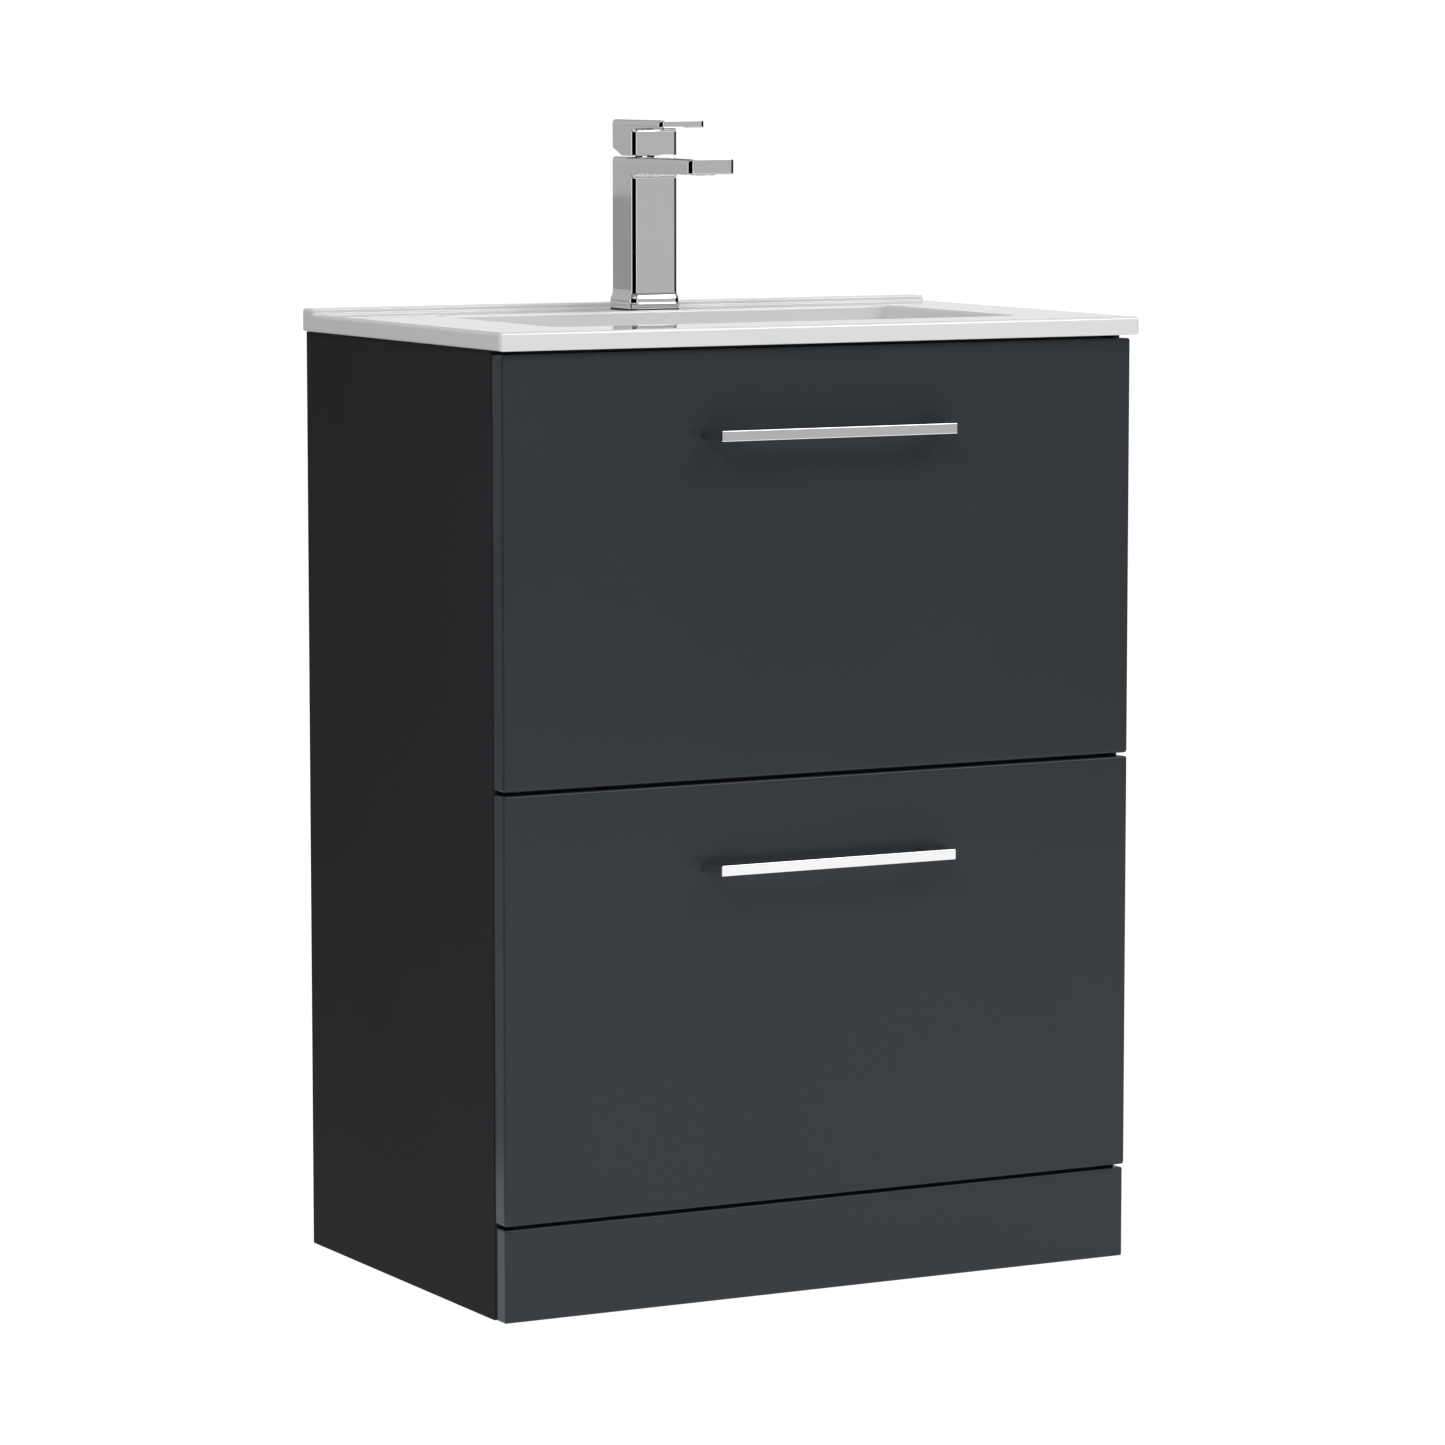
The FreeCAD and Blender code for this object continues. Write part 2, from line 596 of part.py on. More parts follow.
def trap_body():
    """Bottle trap: neck with a dip tube, a round chamber and a branch to the wall."""
    y = BOWL_CENTRE_Y
    neck = rod(24.0, 30, 0, y, 614)
    chamber = rod(29.0, 56, 0, y, 560)
    branch = rod(18.0, 60, 0, y, OUTLET_Z, (0, 1, 0))
    hollow = rod(26.0, 50, 0, y, 559)
    tube = ring(19.0, 17.0, 64, 0, y, 546)
    throat = rod(17.0, 40, 0, y, 605)
    branch_bore = rod(15.0, 60, 0, y + 22.0, OUTLET_Z, (0, 1, 0))
    body = chamber.fuse([neck, branch]).cut(hollow).fuse(tube)
    return body.cut(throat).cut(branch_bore).removeSplitter()


def trap_cup():
    y = BOWL_CENTRE_Y
    cup = round_edges(rod(32.0, 54, 0, y, 516), 5.0, lambda edge: edge.BoundBox.ZMax < 517)
    return cup.cut(rod(28.0, 60, 0, y, 520)).cut(rod(29.0, 20, 0, y, 560))


def trap_outlet_nut():
    y = BOWL_CENTRE_Y + 47.0
    body = rod(23.0, 30, 0, y, OUTLET_Z, (0, 1, 0))
    seat = rod(18.0, 13, 0, y, OUTLET_Z, (0, 1, 0))
    return cut_all(body, [seat, rod(PIPE_R, 40, 0, y, OUTLET_Z, (0, 1, 0))])


def outlet_pipe():
    """Waste pipe to the wall, turned down a little where it enters the trap's nut."""
    start, shoulder = BOWL_CENTRE_Y + 60.0, BOWL_CENTRE_Y + 80.0
    pipe = rod(PIPE_R - 0.4, shoulder - start, 0, start, OUTLET_Z, (0, 1, 0))
    pipe = pipe.fuse(rod(PIPE_R, WALL_Y - shoulder, 0, shoulder, OUTLET_Z, (0, 1, 0)))
    return pipe.cut(rod(PIPE_R - 1.8, WALL_Y, 0, start - 1, OUTLET_Z, (0, 1, 0)))


def make_waste():
    y = BOWL_CENTRE_Y
    under = BOWL_FLOOR_Z - BOWL_WALL
    save("waste_body", waste_body())
    save("waste_seal", ring(32.0, 22.2, 3.0, 0, y, under - 3.0))
    nut = hexagon(60.0, under - 11.0, under - 3.0, 0, y)
    save("waste_backnut", nut.cut(rod(TAIL_R, 20, 0, y, under - 15)))
    save("waste_plug", waste_plug())
    save("trap_inlet_nut", trap_inlet_nut())
    save("trap_body", trap_body())
    save("trap_cup", trap_cup())
    save("trap_outlet_nut", trap_outlet_nut())
    save("outlet_pipe", outlet_pipe())


# ---- tap ----
CARTRIDGE_R = 12.5
CARTRIDGE_NUT_R = 15.5
CARTRIDGE_BORE_R = 10.0
AERATOR_R = 11.0
AERATOR_Y = SPOUT_FRONT_Y + 17.0
SPIGOT_R = 16.5
INLET_R = 4.5
INLET_X = 8.0
INLET_LENGTH = 14.0
INLET_TAIL_R = 5.0
INLET_TAIL_STEP_Z = 776.0         # below this the tails have their full radius
INLET_TAIL_END_Z = 700.0
STUD_R = 4.0
STUD_Y = TAP_Y + 10.0
SPIGOT_BOTTOM = DECK_Z - 10.0
PIN_R = 1.5
STEM_HALF = 4.2
GRUB_R = 2.0
GRUB_LENGTH = 14.0
GRUB_Z = PIVOT_Z + 11.0


def column_wire(grow, z):
    """The column's plan at height z, moved outwards by grow."""
    half, back = TAP_WIDTH / 2 + grow, TAP_Y + TAP_DEPTH / 2 + grow
    return rounded_wire(-half, half, COLUMN_FRONT_Y - grow, back, TAP_CORNER_R + grow, z)


def tap_body():
    """Square column on a flared flange, with a flat spout, as one casting."""
    half = TAP_WIDTH / 2
    back = TAP_Y + TAP_DEPTH / 2
    column = rounded_block(-half, half, COLUMN_FRONT_Y, back, TAP_CORNER_R, DECK_Z + 1, COLUMN_TOP_Z)
    reach = TAP_FLANGE_REACH
    flange = rounded_block(-half - reach, half + reach, COLUMN_FRONT_Y - reach, back + reach,
                           TAP_CORNER_R + reach, DECK_Z + 1, DECK_Z + 1 + TAP_FLANGE)
    wires = [column_wire(grow, DECK_Z + TAP_FLANGE + lift) for grow, lift in TAP_FLARE]
    flare = Part.makeLoft(wires, True, True)
    profile = side_profile([(TAP_Y, COLUMN_TOP_Z), (SPOUT_FRONT_Y, COLUMN_TOP_Z),
                            (SPOUT_FRONT_Y, COLUMN_TOP_Z - TAP_SPOUT_TIP),
                            (COLUMN_FRONT_Y - 5, COLUMN_TOP_Z - TAP_SPOUT_ROOT),
                            (COLUMN_FRONT_Y, COLUMN_TOP_Z - TAP_SPOUT_ROOT - 5),
                            (TAP_Y, COLUMN_TOP_Z - TAP_SPOUT_ROOT - 5)], -half, half)
    plan = rounded_block(-half, half, SPOUT_FRONT_Y, back, TAP_CORNER_R, COLUMN_TOP_Z - 40, COLUMN_TOP_Z)
    body = column.fuse([flange, flare, profile.common(plan), rod(SPIGOT_R, 12, 0, TAP_Y, SPIGOT_BOTTOM)])
    return cut_all(body.removeSplitter(), tap_bores())


def tap_bores():
    """Cartridge seat, waterways, inlets, stud socket and aerator seat."""
    seat = COLUMN_TOP_Z - 37.0
    bores = [rod(CARTRIDGE_R, 60, 0, TAP_Y, seat), rod(CARTRIDGE_NUT_R, 20, 0, TAP_Y, COLUMN_TOP_Z - 8)]
    for x in (-INLET_X, INLET_X):
        bores.append(rod(INLET_R, INLET_LENGTH, x, TAP_Y - 4, SPIGOT_BOTTOM))
        bores.append(rod(3.0, seat - SPIGOT_BOTTOM, x, TAP_Y - 4, SPIGOT_BOTTOM + 1))
    bores.append(rod(STUD_R, 16, 0, STUD_Y, SPIGOT_BOTTOM - 1))
    bores.append(rod(AERATOR_R, 6.0, 0, AERATOR_Y, COLUMN_TOP_Z - TAP_SPOUT_TIP - 2))
    bores.append(rod(3.0, TAP_Y - AERATOR_Y, 0, AERATOR_Y, COLUMN_TOP_Z - 8, (0, 1, 0)))
    bores.append(rod(3.0, 8, 0, AERATOR_Y, COLUMN_TOP_Z - TAP_SPOUT_TIP))
    return bores


def tap_aerator():
    z = COLUMN_TOP_Z - TAP_SPOUT_TIP
    cup = rod(AERATOR_R, 5.0, 0, AERATOR_Y, z - 1.0)
    holes = [rod(0.9, 8, 5.5 * math.cos(math.radians(a)), AERATOR_Y + 5.5 * math.sin(math.radians(a)), z - 2)
             for a in range(0, 360, 45)]
    return cut_all(cup, holes + [rod(1.5, 8, 0, AERATOR_Y, z - 2)])


def cartridge():
    """Ceramic-disc cartridge body, with the well that its turret turns in."""
    body = rod(CARTRIDGE_R, 29.0, 0, TAP_Y, COLUMN_TOP_Z - 37.0)
    return body.cut(rod(CARTRIDGE_BORE_R, 4.0, 0, TAP_Y, COLUMN_TOP_Z - 10.0))


def cartridge_turret():
    """Turning head of the cartridge, with two cheeks that carry the stem's pin."""
    disc = rod(CARTRIDGE_BORE_R - 0.4, 9.2, 0, TAP_Y, COLUMN_TOP_Z - 9.6)
    cheek = block(STEM_HALF + 0.3, STEM_HALF + 3.0, TAP_Y - 4.5, TAP_Y + 4.5,
                  COLUMN_TOP_Z - 0.6, PIVOT_Z + 3.4)
    pin = rod(PIN_R, 30, -15, TAP_Y, PIVOT_Z, (1, 0, 0))
    return disc.fuse(both_sides(cheek)).removeSplitter().cut(pin)


def stem_pin():
    return rod(PIN_R, 2 * (STEM_HALF + 3.0), -STEM_HALF - 3.0, TAP_Y, PIVOT_Z, (1, 0, 0))


def lever_stem():
    """The stem that the lever is clamped to, round where it swings on its pin."""
    top = PIVOT_Z + 14.0
    eye = rod(4.2, 2 * STEM_HALF, -STEM_HALF, TAP_Y, PIVOT_Z, (1, 0, 0))
    shaft = block(-STEM_HALF, STEM_HALF, TAP_Y - 4.2, TAP_Y + 4.2, PIVOT_Z, top)
    return eye.fuse(shaft).removeSplitter().cut(rod(PIN_R + 0.06, 20, -10, TAP_Y, PIVOT_Z, (1, 0, 0)))


def lever_handle():
    """Square head with a flat grip, hollow underneath, relieved at the rear so that it can tilt."""
    half = TAP_WIDTH / 2
    back = TAP_Y + TAP_DEPTH / 2
    bottom = COLUMN_TOP_Z + LEVER_GAP
    top = DECK_Z + LEVER_TOP
    tip = COLUMN_FRONT_Y - LEVER_REACH
    profile = side_profile([(tip, top), (back, top), (back, bottom + LEVER_RELIEF), (TAP_Y, bottom),
                            (COLUMN_FRONT_Y, bottom), (COLUMN_FRONT_Y, top - LEVER_ROOT - 3),
                            (COLUMN_FRONT_Y - 3, top - LEVER_ROOT), (tip, top - LEVER_TIP)], -half, half)
    plan = rounded_block(-half, half, tip, back, TAP_CORNER_R, bottom - 1, top + 1)
    head_plan = rounded_block(-half, half, COLUMN_FRONT_Y, back, TAP_CORNER_R,
                              bottom - 1, top - LEVER_ROOT - 2)
    below = block(-half - 1, half + 1, tip - 1, back + 1, bottom - 1, top - LEVER_ROOT - 2)
    body = profile.common(plan)
    body = body.cut(below).fuse(body.common(below).common(head_plan)).removeSplitter()
    well = block(-11, 11, TAP_Y - 11, TAP_Y + 11, bottom - 1, PIVOT_Z + 7.5)
    socket = block(-STEM_HALF, STEM_HALF, TAP_Y - 4.2, TAP_Y + 4.2, PIVOT_Z + 7, PIVOT_Z + 14.0)
    screw_hole = rod(GRUB_R, 20, 0, TAP_Y + 4.2, GRUB_Z, (0, 1, 0))
    return cut_all(body, [well, socket, screw_hole])


def lever_grub_screw():
    """Grub screw from the rear of the head that grips the stem, with a square key socket."""
    end = TAP_Y + 4.2 + GRUB_LENGTH
    key = block(-1.0, 1.0, end - 3, end + 1, GRUB_Z - 1.0, GRUB_Z + 1.0)
    return rod(GRUB_R, GRUB_LENGTH, 0, TAP_Y + 4.2, GRUB_Z, (0, 1, 0)).cut(key)


def horseshoe_washer():
    """Clamping plate under the basin, open at the front so that the inlets pass it."""
    plate = rod(26.0, 3.0, 0, TAP_Y, CABINET_HEIGHT - 3.0)
    mouth = block(-14, 14, TAP_Y - 30, TAP_Y + 4, CABINET_HEIGHT - 4, CABINET_HEIGHT + 1)
    return plate.cut(mouth).cut(rod(STUD_R, 8, 0, STUD_Y, CABINET_HEIGHT - 5))


def inlet_tails():
    """Two rigid tails that carry hot and cold water up through the basin into the tap."""
    y = TAP_Y - 4.0
    neck = rod(INLET_R - 0.05, SPIGOT_BOTTOM + 12.0 - INLET_TAIL_STEP_Z, INLET_X, y, INLET_TAIL_STEP_Z)
    tail = rod(INLET_TAIL_R, INLET_TAIL_STEP_Z - INLET_TAIL_END_Z, INLET_X, y, INLET_TAIL_END_Z)
    bore = rod(INLET_TAIL_R - 1.4, 200, INLET_X, y, INLET_TAIL_END_Z - 1)
    return both_sides(neck.fuse(tail).cut(bore))


def make_tap():
    half = TAP_WIDTH / 2
    reach = TAP_FLANGE_REACH - 0.5
    seal = rounded_block(-half - reach, half + reach, COLUMN_FRONT_Y - reach, TAP_Y + TAP_DEPTH / 2 + reach,
                         TAP_CORNER_R + reach, DECK_Z, DECK_Z + 1)
    save("tap_body", tap_body())
    save("tap_base_seal", seal.cut(rod(SPIGOT_R, 8, 0, TAP_Y, DECK_Z - 3)))
    save("tap_aerator", tap_aerator())
    save("cartridge", cartridge())
    save("cartridge_nut", ring(CARTRIDGE_NUT_R, CARTRIDGE_BORE_R + 0.4, 7.0, 0, TAP_Y, COLUMN_TOP_Z - 8.0))
    save("cartridge_turret", cartridge_turret())
    save("stem_pin", stem_pin())
    save("lever_handle", lever_handle())
    save("lever_stem", lever_stem())
    save("lever_grub_screw", lever_grub_screw())
    save("tap_fixing_stud", rod(STUD_R, 66, 0, STUD_Y, DECK_Z + 4.0 - 66 + 1))
    save("inlet_tails", *inlet_tails())
    save("horseshoe_washer", horseshoe_washer())
    save("tap_fixing_nut", hexagon(13.0, CABINET_HEIGHT - 13, CABINET_HEIGHT - 3, 0, STUD_Y)
         .cut(rod(STUD_R, 20, 0, STUD_Y, CABINET_HEIGHT - 18)))


def main():
    os.makedirs("parts", exist_ok=True)
    make_carcass()
    make_lower_drawer()
    make_upper_drawer()
    save("basin", basin())
    save("overflow_ring", overflow_ring())
    make_waste()
    make_tap()


main()
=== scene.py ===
"""Bathroom vanity: lacquered two-drawer cabinet, ceramic basin, chrome mixer tap, waste and trap.

Every piece is a surface worked out with numpy in metres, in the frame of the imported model, and rides
on one of its bodies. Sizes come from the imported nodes' boxes and from the property groups below.
"""

import json
import math

import bmesh
import bpy
import numpy as np
from bpy.props import FloatProperty, FloatVectorProperty, PointerProperty
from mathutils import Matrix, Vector


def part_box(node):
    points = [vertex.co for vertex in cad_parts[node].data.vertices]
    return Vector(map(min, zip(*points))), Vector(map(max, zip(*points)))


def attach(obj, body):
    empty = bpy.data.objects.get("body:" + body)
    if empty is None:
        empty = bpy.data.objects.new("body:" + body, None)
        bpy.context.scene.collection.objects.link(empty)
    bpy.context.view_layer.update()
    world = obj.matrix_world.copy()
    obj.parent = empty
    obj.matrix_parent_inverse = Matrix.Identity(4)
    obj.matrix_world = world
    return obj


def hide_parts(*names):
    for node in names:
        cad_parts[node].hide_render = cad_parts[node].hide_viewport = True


bl_info = {
    "name": "Bathroom Vanity",
    "version": (1, 0, 0),
    "blender": (4, 5, 0),
    "location": "View3D > Sidebar > Vanity",
    "description": "Builds a bathroom vanity cabinet with basin, tap, drawers and trap",
    "category": "Add Mesh",
}

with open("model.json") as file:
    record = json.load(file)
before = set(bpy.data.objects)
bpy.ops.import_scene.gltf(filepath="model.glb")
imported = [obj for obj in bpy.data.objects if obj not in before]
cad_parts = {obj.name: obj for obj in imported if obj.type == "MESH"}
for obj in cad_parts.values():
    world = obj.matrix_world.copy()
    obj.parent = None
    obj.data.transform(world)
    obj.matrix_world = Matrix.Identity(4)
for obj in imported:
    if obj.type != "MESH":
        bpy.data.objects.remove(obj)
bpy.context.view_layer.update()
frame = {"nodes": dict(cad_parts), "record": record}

MM = 0.001
GUARD = 0.15 * MM                 # a narrow band beside each rounding keeps the flat faces flat
ARC_STEPS = 7
MERGE = 1e-6                      # vertices nearer than this are one
TURNED_SHARP = 50                 # edges steeper than this many degrees stay sharp
CAST_SHARP = 35
MOULDED_SHARP = 45


def node_box(node):
    """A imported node's lowest and highest corners as arrays."""
    low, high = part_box(node)
    return np.array(low), np.array(high)


def centre_line(node, axis):
    """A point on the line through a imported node's middle along one axis."""
    low, high = node_box(node)
    centre = (low + high) / 2
    centre[axis] = 0
    return centre


# ---------------------------------------------------------------- surfaces
def rounded_polygon(corners, radii, insets, crisp=(), steps=ARC_STEPS):
    """Outlines of a polygon with round corners, one for each inset.

    Each side moves inwards by the inset, and the corners go to where the moved sides meet; a side
    listed in crisp, which starts at that corner, stays in place. An arc of that corner's radius then
    joins its two sides, and a guard point stands on each side just clear of the arc. The corners run
    anticlockwise. The result has the shape (insets, corners * (steps + 3), 2).
    """
    corners = np.asarray(corners, float)
    share_out = np.ones((len(corners), 1))
    share_out[list(crisp)] = 0
    share_in = np.roll(share_out, 1, axis=0)
    radii = np.asarray(radii, float)[None, :, None]
    insets = np.asarray(insets, float)[:, None, None]
    before = corners - np.roll(corners, 1, axis=0)
    before /= np.linalg.norm(before, axis=1, keepdims=True)
    after = np.roll(before, -1, axis=0)
    normal_in = np.stack([before[:, 1], -before[:, 0]], axis=1)
    normal_out = np.stack([after[:, 1], -after[:, 0]], axis=1)
    cosine = np.sum(before * after, axis=1, keepdims=True)
    sine = before[:, :1] * after[:, 1:] - before[:, 1:] * after[:, :1]
    turn = np.arctan2(sine, cosine)
    along_in = (share_in - cosine * share_out) / (1 - cosine ** 2)
    along_out = (share_out - cosine * share_in) / (1 - cosine ** 2)
    moved = corners[None] - insets * (along_in * normal_in + along_out * normal_out)
    reach = radii * np.tan(np.abs(turn) / 2)[None]
    side = np.sign(turn)[None]
    start = moved - before[None] * reach
    centre = start - side * radii * normal_in[None]
    share = np.linspace(0, 1, steps + 1)[None, None, :, None]
    angle = np.abs(turn)[None, :, None, :] * share
    arcs = (centre[:, :, None] + (side * radii)[:, :, None] * normal_in[None, :, None] * np.cos(angle)
            + radii[:, :, None] * before[None, :, None] * np.sin(angle))
    ahead = (start - before[None] * GUARD)[:, :, None]
    behind = (moved + after[None] * (reach + GUARD))[:, :, None]
    points = np.concatenate([ahead, arcs, behind], axis=2)
    return points.reshape(len(points), -1, 2)


def edge_profile(low, high, low_radius, high_radius, squash=1.0, steps=ARC_STEPS):
    """(place, inset) along a solid from one flat end to the other.

    A quarter circle rises from each end into the straight side. squash narrows the inset of the
    quarter circle, which makes it an ellipse. Guard rings stand on both sides of each curve.
    """
    turn = np.linspace(0, math.pi / 2, steps + 1)
    place = [low + low_radius * (1 - np.cos(turn)), high - high_radius * (1 - np.cos(turn[::-1]))]
    inset = [low_radius * squash * (1 - np.sin(turn)), high_radius * squash * (1 - np.sin(turn[::-1]))]
    places = np.concatenate([[low], place[0], [low + low_radius + GUARD, high - high_radius - GUARD],
                             place[1], [high]])
    insets = np.concatenate([[inset[0][0] + GUARD], inset[0], [0, 0], inset[1], [inset[1][-1] + GUARD]])
    return places, insets


def tube_faces(rings, points, closed=False):
    """Quads between neighbouring rings of equally many points, each ring closed on itself."""
    ring = np.arange(rings if closed else rings - 1)[:, None]
    point = np.arange(points)[None, :]
    following = (ring + 1) % rings
    beside = (point + 1) % points
    quads = np.stack([ring * points + point, ring * points + beside,
                      following * points + beside, following * points + point], axis=-1)
    return quads.reshape(-1, 4)


def capped(rings):
    """Vertices and faces of a stack of rings, shape (rings, points, 3), with both ends closed."""
    count, points = rings.shape[:2]
    faces = tube_faces(count, points).tolist()
    faces.append(list(range(points - 1, -1, -1)))
    faces.append(list(range((count - 1) * points, count * points)))
    return rings.reshape(-1, 3), faces


def slab(corners, radii, axis, low, high, low_radius, high_radius=None, squash=1.0, crisp=()):
    """A flat-sided solid: a rounded polygon carried along one axis, with rounded end edges.

    The polygon's two coordinates are the other axes in X, Y, Z order. The end edges of the sides
    listed in crisp stay sharp.
    """
    high_radius = low_radius if high_radius is None else high_radius
    places, insets = edge_profile(low, high, low_radius, high_radius, squash)
    outline = rounded_polygon(corners, radii, insets, crisp)
    along = np.broadcast_to(places[:, None, None], outline.shape[:2] + (1,))
    return capped(np.concatenate([outline[..., :axis], along, outline[..., axis:]], axis=-1))


def profile_slab(rows, low, high, edge, crisp=()):
    """A side profile of (y, z, corner radius) rows carried across in X."""
    outline = np.array(rows)
    return slab(outline[:, :2], outline[:, 2], 0, low, high, edge, crisp=crisp)


def rectangle(low, high):
    """The corners between two opposite ones, anticlockwise."""
    return [(low[0], low[1]), (high[0], low[1]), (high[0], high[1]), (low[0], high[1])]


def board(low, high, edge, axis):
    """A board between two corners, thin along one axis, with all its edges slightly rounded."""
    others = [k for k in range(3) if k != axis]
    corners = rectangle([low[k] for k in others], [high[k] for k in others])
    return slab(corners, [edge] * 4, axis, low[axis], high[axis], edge)


def turned(profile, centre, axis, steps=64, closed=False, ribs=None):
    """A lathe shape: (radius, place) pairs turned about a line through centre along one axis.

    ribs is (count, depth, radius): beyond that radius, the radius swings by a cosine of the angle.
    """
    profile = np.asarray(profile, float)
    angle = np.linspace(0, 2 * math.pi, steps, endpoint=False)
    circle = np.stack([np.cos(angle), np.sin(angle)], axis=-1)
    flat = profile[:, None, :1] * circle[None]
    if ribs is not None:
        count, depth, radius = ribs
        swing = depth * (np.cos(count * angle) - 1) / 2
        flat = flat + ((profile[:, :1] > radius) * swing[None])[..., None] * circle[None]
    along = np.broadcast_to(profile[:, None, 1:], flat.shape[:2] + (1,))
    rings = np.concatenate([flat[..., :axis], along, flat[..., axis:]], axis=-1) + np.asarray(centre)
    if closed:
        return rings.reshape(-1, 3), tube_faces(len(rings), steps, True).tolist()
    return capped(rings)


def anchored(rows, *ends):
    """Rows of (radius, end, offset) in millimetres as (radius, place) in metres.

    The offset counts from ends[end].
    """
    return [(radius * MM, ends[end] + offset * MM) for radius, end, offset in rows]


def soften(profile, radius, steps=4):
    """The profile with each inner corner replaced by a small arc (a quadratic curve through the corner)."""
    profile = np.asarray(profile, float)
    out = [profile[:1]]
    share = np.linspace(0, 1, steps + 1)[:, None]
    for before, corner, after in zip(profile[:-2], profile[1:-1], profile[2:]):
        start = corner + (before - corner) * min(0.45, radius / np.linalg.norm(before - corner))
        end = corner + (after - corner) * min(0.45, radius / np.linalg.norm(after - corner))
        out.append((1 - share) ** 2 * start + 2 * share * (1 - share) * corner + share ** 2 * end)
    out.append(profile[-1:])
    return np.concatenate(out)


def joined(*parts):
    """Several closed surfaces as one mesh."""
    vertices, faces, offset = [], [], 0
    for points, polygons in parts:
        vertices.append(np.asarray(points))
        faces += [[index + offset for index in polygon] for polygon in polygons]
        offset += len(points)
    return np.concatenate(vertices), faces


def mesh_of(name, points, faces, material=None):
    """A mesh of the given surface, with one material where it is given."""
    mesh = bpy.data.meshes.new(name)
    mesh.from_pydata(np.asarray(points).tolist(), [], faces)
    if material is not None:
        mesh.materials.append(material)
    return mesh


def placed(name, data):
    """A new object in the scene."""
    made = bpy.data.objects.new(name, data)
    bpy.context.scene.collection.objects.link(made)
    return made


def piece(name, shape, body, slot, *nodes, sharp=None, finish=None):
    """Puts a surface into the scene as a piece that rides on a body and stands for CAD nodes.

    It wears the finish of its slot unless another is named.
    """
    mesh = mesh_of(name, *shape)
    finish_mesh(mesh)
    mesh.shade_smooth()
    if sharp is not None:
        mesh.set_sharp_from_angle(angle=math.radians(sharp))
    mesh.materials.append(FINISHES[finish or slot])
    made = placed(name, mesh)
    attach(made, body)
    if nodes:
        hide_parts(*nodes)


def finish_mesh(mesh):
    """Merges doubled points and turns every face outwards."""
    work = bmesh.new()
    work.from_mesh(mesh)
    bmesh.ops.remove_doubles(work, verts=work.verts, dist=MERGE)
    bmesh.ops.recalc_face_normals(work, faces=work.faces)
    work.to_mesh(mesh)
    work.free()


# ---------------------------------------------------------------- materials
class Finish:
    """A material with a Principled shader and short ways to add its patterns."""

    def __init__(self, name, **sockets):
        self.material = bpy.data.materials.new(name)
        self.material.use_nodes = True
        self.tree = self.material.node_tree
        self.shader = self.tree.nodes["Principled BSDF"]
        self.place = self.tree.nodes.new("ShaderNodeTexCoord").outputs["Object"]
        self.fill(self.shader, sockets)

    def fill(self, node, sockets):
        """Sets a node's inputs by name, and links those whose value is another node's output."""
        for name, value in sockets.items():
            socket = node.inputs[name.replace("_", " ")]
            if isinstance(value, bpy.types.NodeSocket):
                self.tree.links.new(value, socket)
            else:
                socket.default_value = value

    def node(self, kind, **sockets):
        made = self.tree.nodes.new("ShaderNode" + kind)
        self.fill(made, sockets)
        return made

    def noise(self, scale, detail=3.0, stretch=(1, 1, 1)):
        """Cloudy noise in object coordinates, which stretch scales along each axis."""
        place = self.node("Mapping", Scale=stretch, Vector=self.place).outputs["Vector"]
        return self.node("TexNoise", Scale=scale, Detail=detail, Vector=place).outputs["Fac"]

    def weave(self, pitch, direction, distortion=0.6):
        """Fine bands across one axis, pitch metres apart."""
        texture = self.node("TexWave", Scale=math.pi / 10 / pitch, Distortion=distortion,
                            Detail_Scale=2.0, Vector=self.place)
        texture.wave_type = "BANDS"
        texture.bands_direction = direction
        return texture.outputs["Fac"]

    def product(self, first, second):
        made = self.node("Math")
        made.operation = "MULTIPLY"
        self.tree.links.new(first, made.inputs[0])
        self.tree.links.new(second, made.inputs[1])
        return made.outputs["Value"]

    def ranged(self, source, low, high):
        """The middle half of a pattern's values spread from low to high."""
        return self.node("MapRange", From_Min=0.25, From_Max=0.75, To_Min=low, To_Max=high,
                         Value=source).outputs["Result"]

    def roughness(self, source, low, high):
        self.fill(self.shader, {"Roughness": self.ranged(source, low, high)})

    def colour(self, source, first, second):
        mix = self.node("Mix")
        mix.data_type = "RGBA"
        self.fill(mix, {"A": (*first, 1), "B": (*second, 1), "Factor": self.ranged(source, 0, 1)})
        self.fill(self.shader, {"Base Color": mix.outputs["Result"]})

    def bump(self, source, depth, strength=1.0):
        made = self.node("Bump", Distance=depth, Strength=strength, Height=source)
        self.fill(self.shader, {"Normal": made.outputs["Normal"]})


def shades(colour, spread):
    """A slightly darker and a slightly lighter shade of a colour."""
    return tuple(c * (1 - spread) for c in colour), tuple(min(1.0, c * (1 + spread)) for c in colour)


def lacquer(name, colour, gloss, low, high):
    """Satin lacquer: faint clouding of colour and gloss over a very fine orange peel."""
    finish = Finish(name, Specular_IOR_Level=gloss)
    cloud = finish.noise(5.0, 4.0)
    finish.colour(cloud, *shades(colour, 0.03))
    finish.roughness(finish.noise(9.0, 5.0), low, high)
    finish.bump(finish.noise(900.0, 2.0), 0.00002, 0.6)
    return finish.material


def foil(name, colour):
    """Linen-textured melamine foil: two crossing sets of fine threads."""
    finish = Finish(name, Specular_IOR_Level=0.35)
    threads = finish.product(finish.weave(0.0016, "Y"), finish.weave(0.0013, "Z"))
    finish.colour(finish.noise(160.0, 4.0, (1.0, 0.25, 1.0)), *shades(colour, 0.07))
    finish.roughness(threads, 0.42, 0.58)
    finish.bump(threads, 0.00008)
    return finish.material


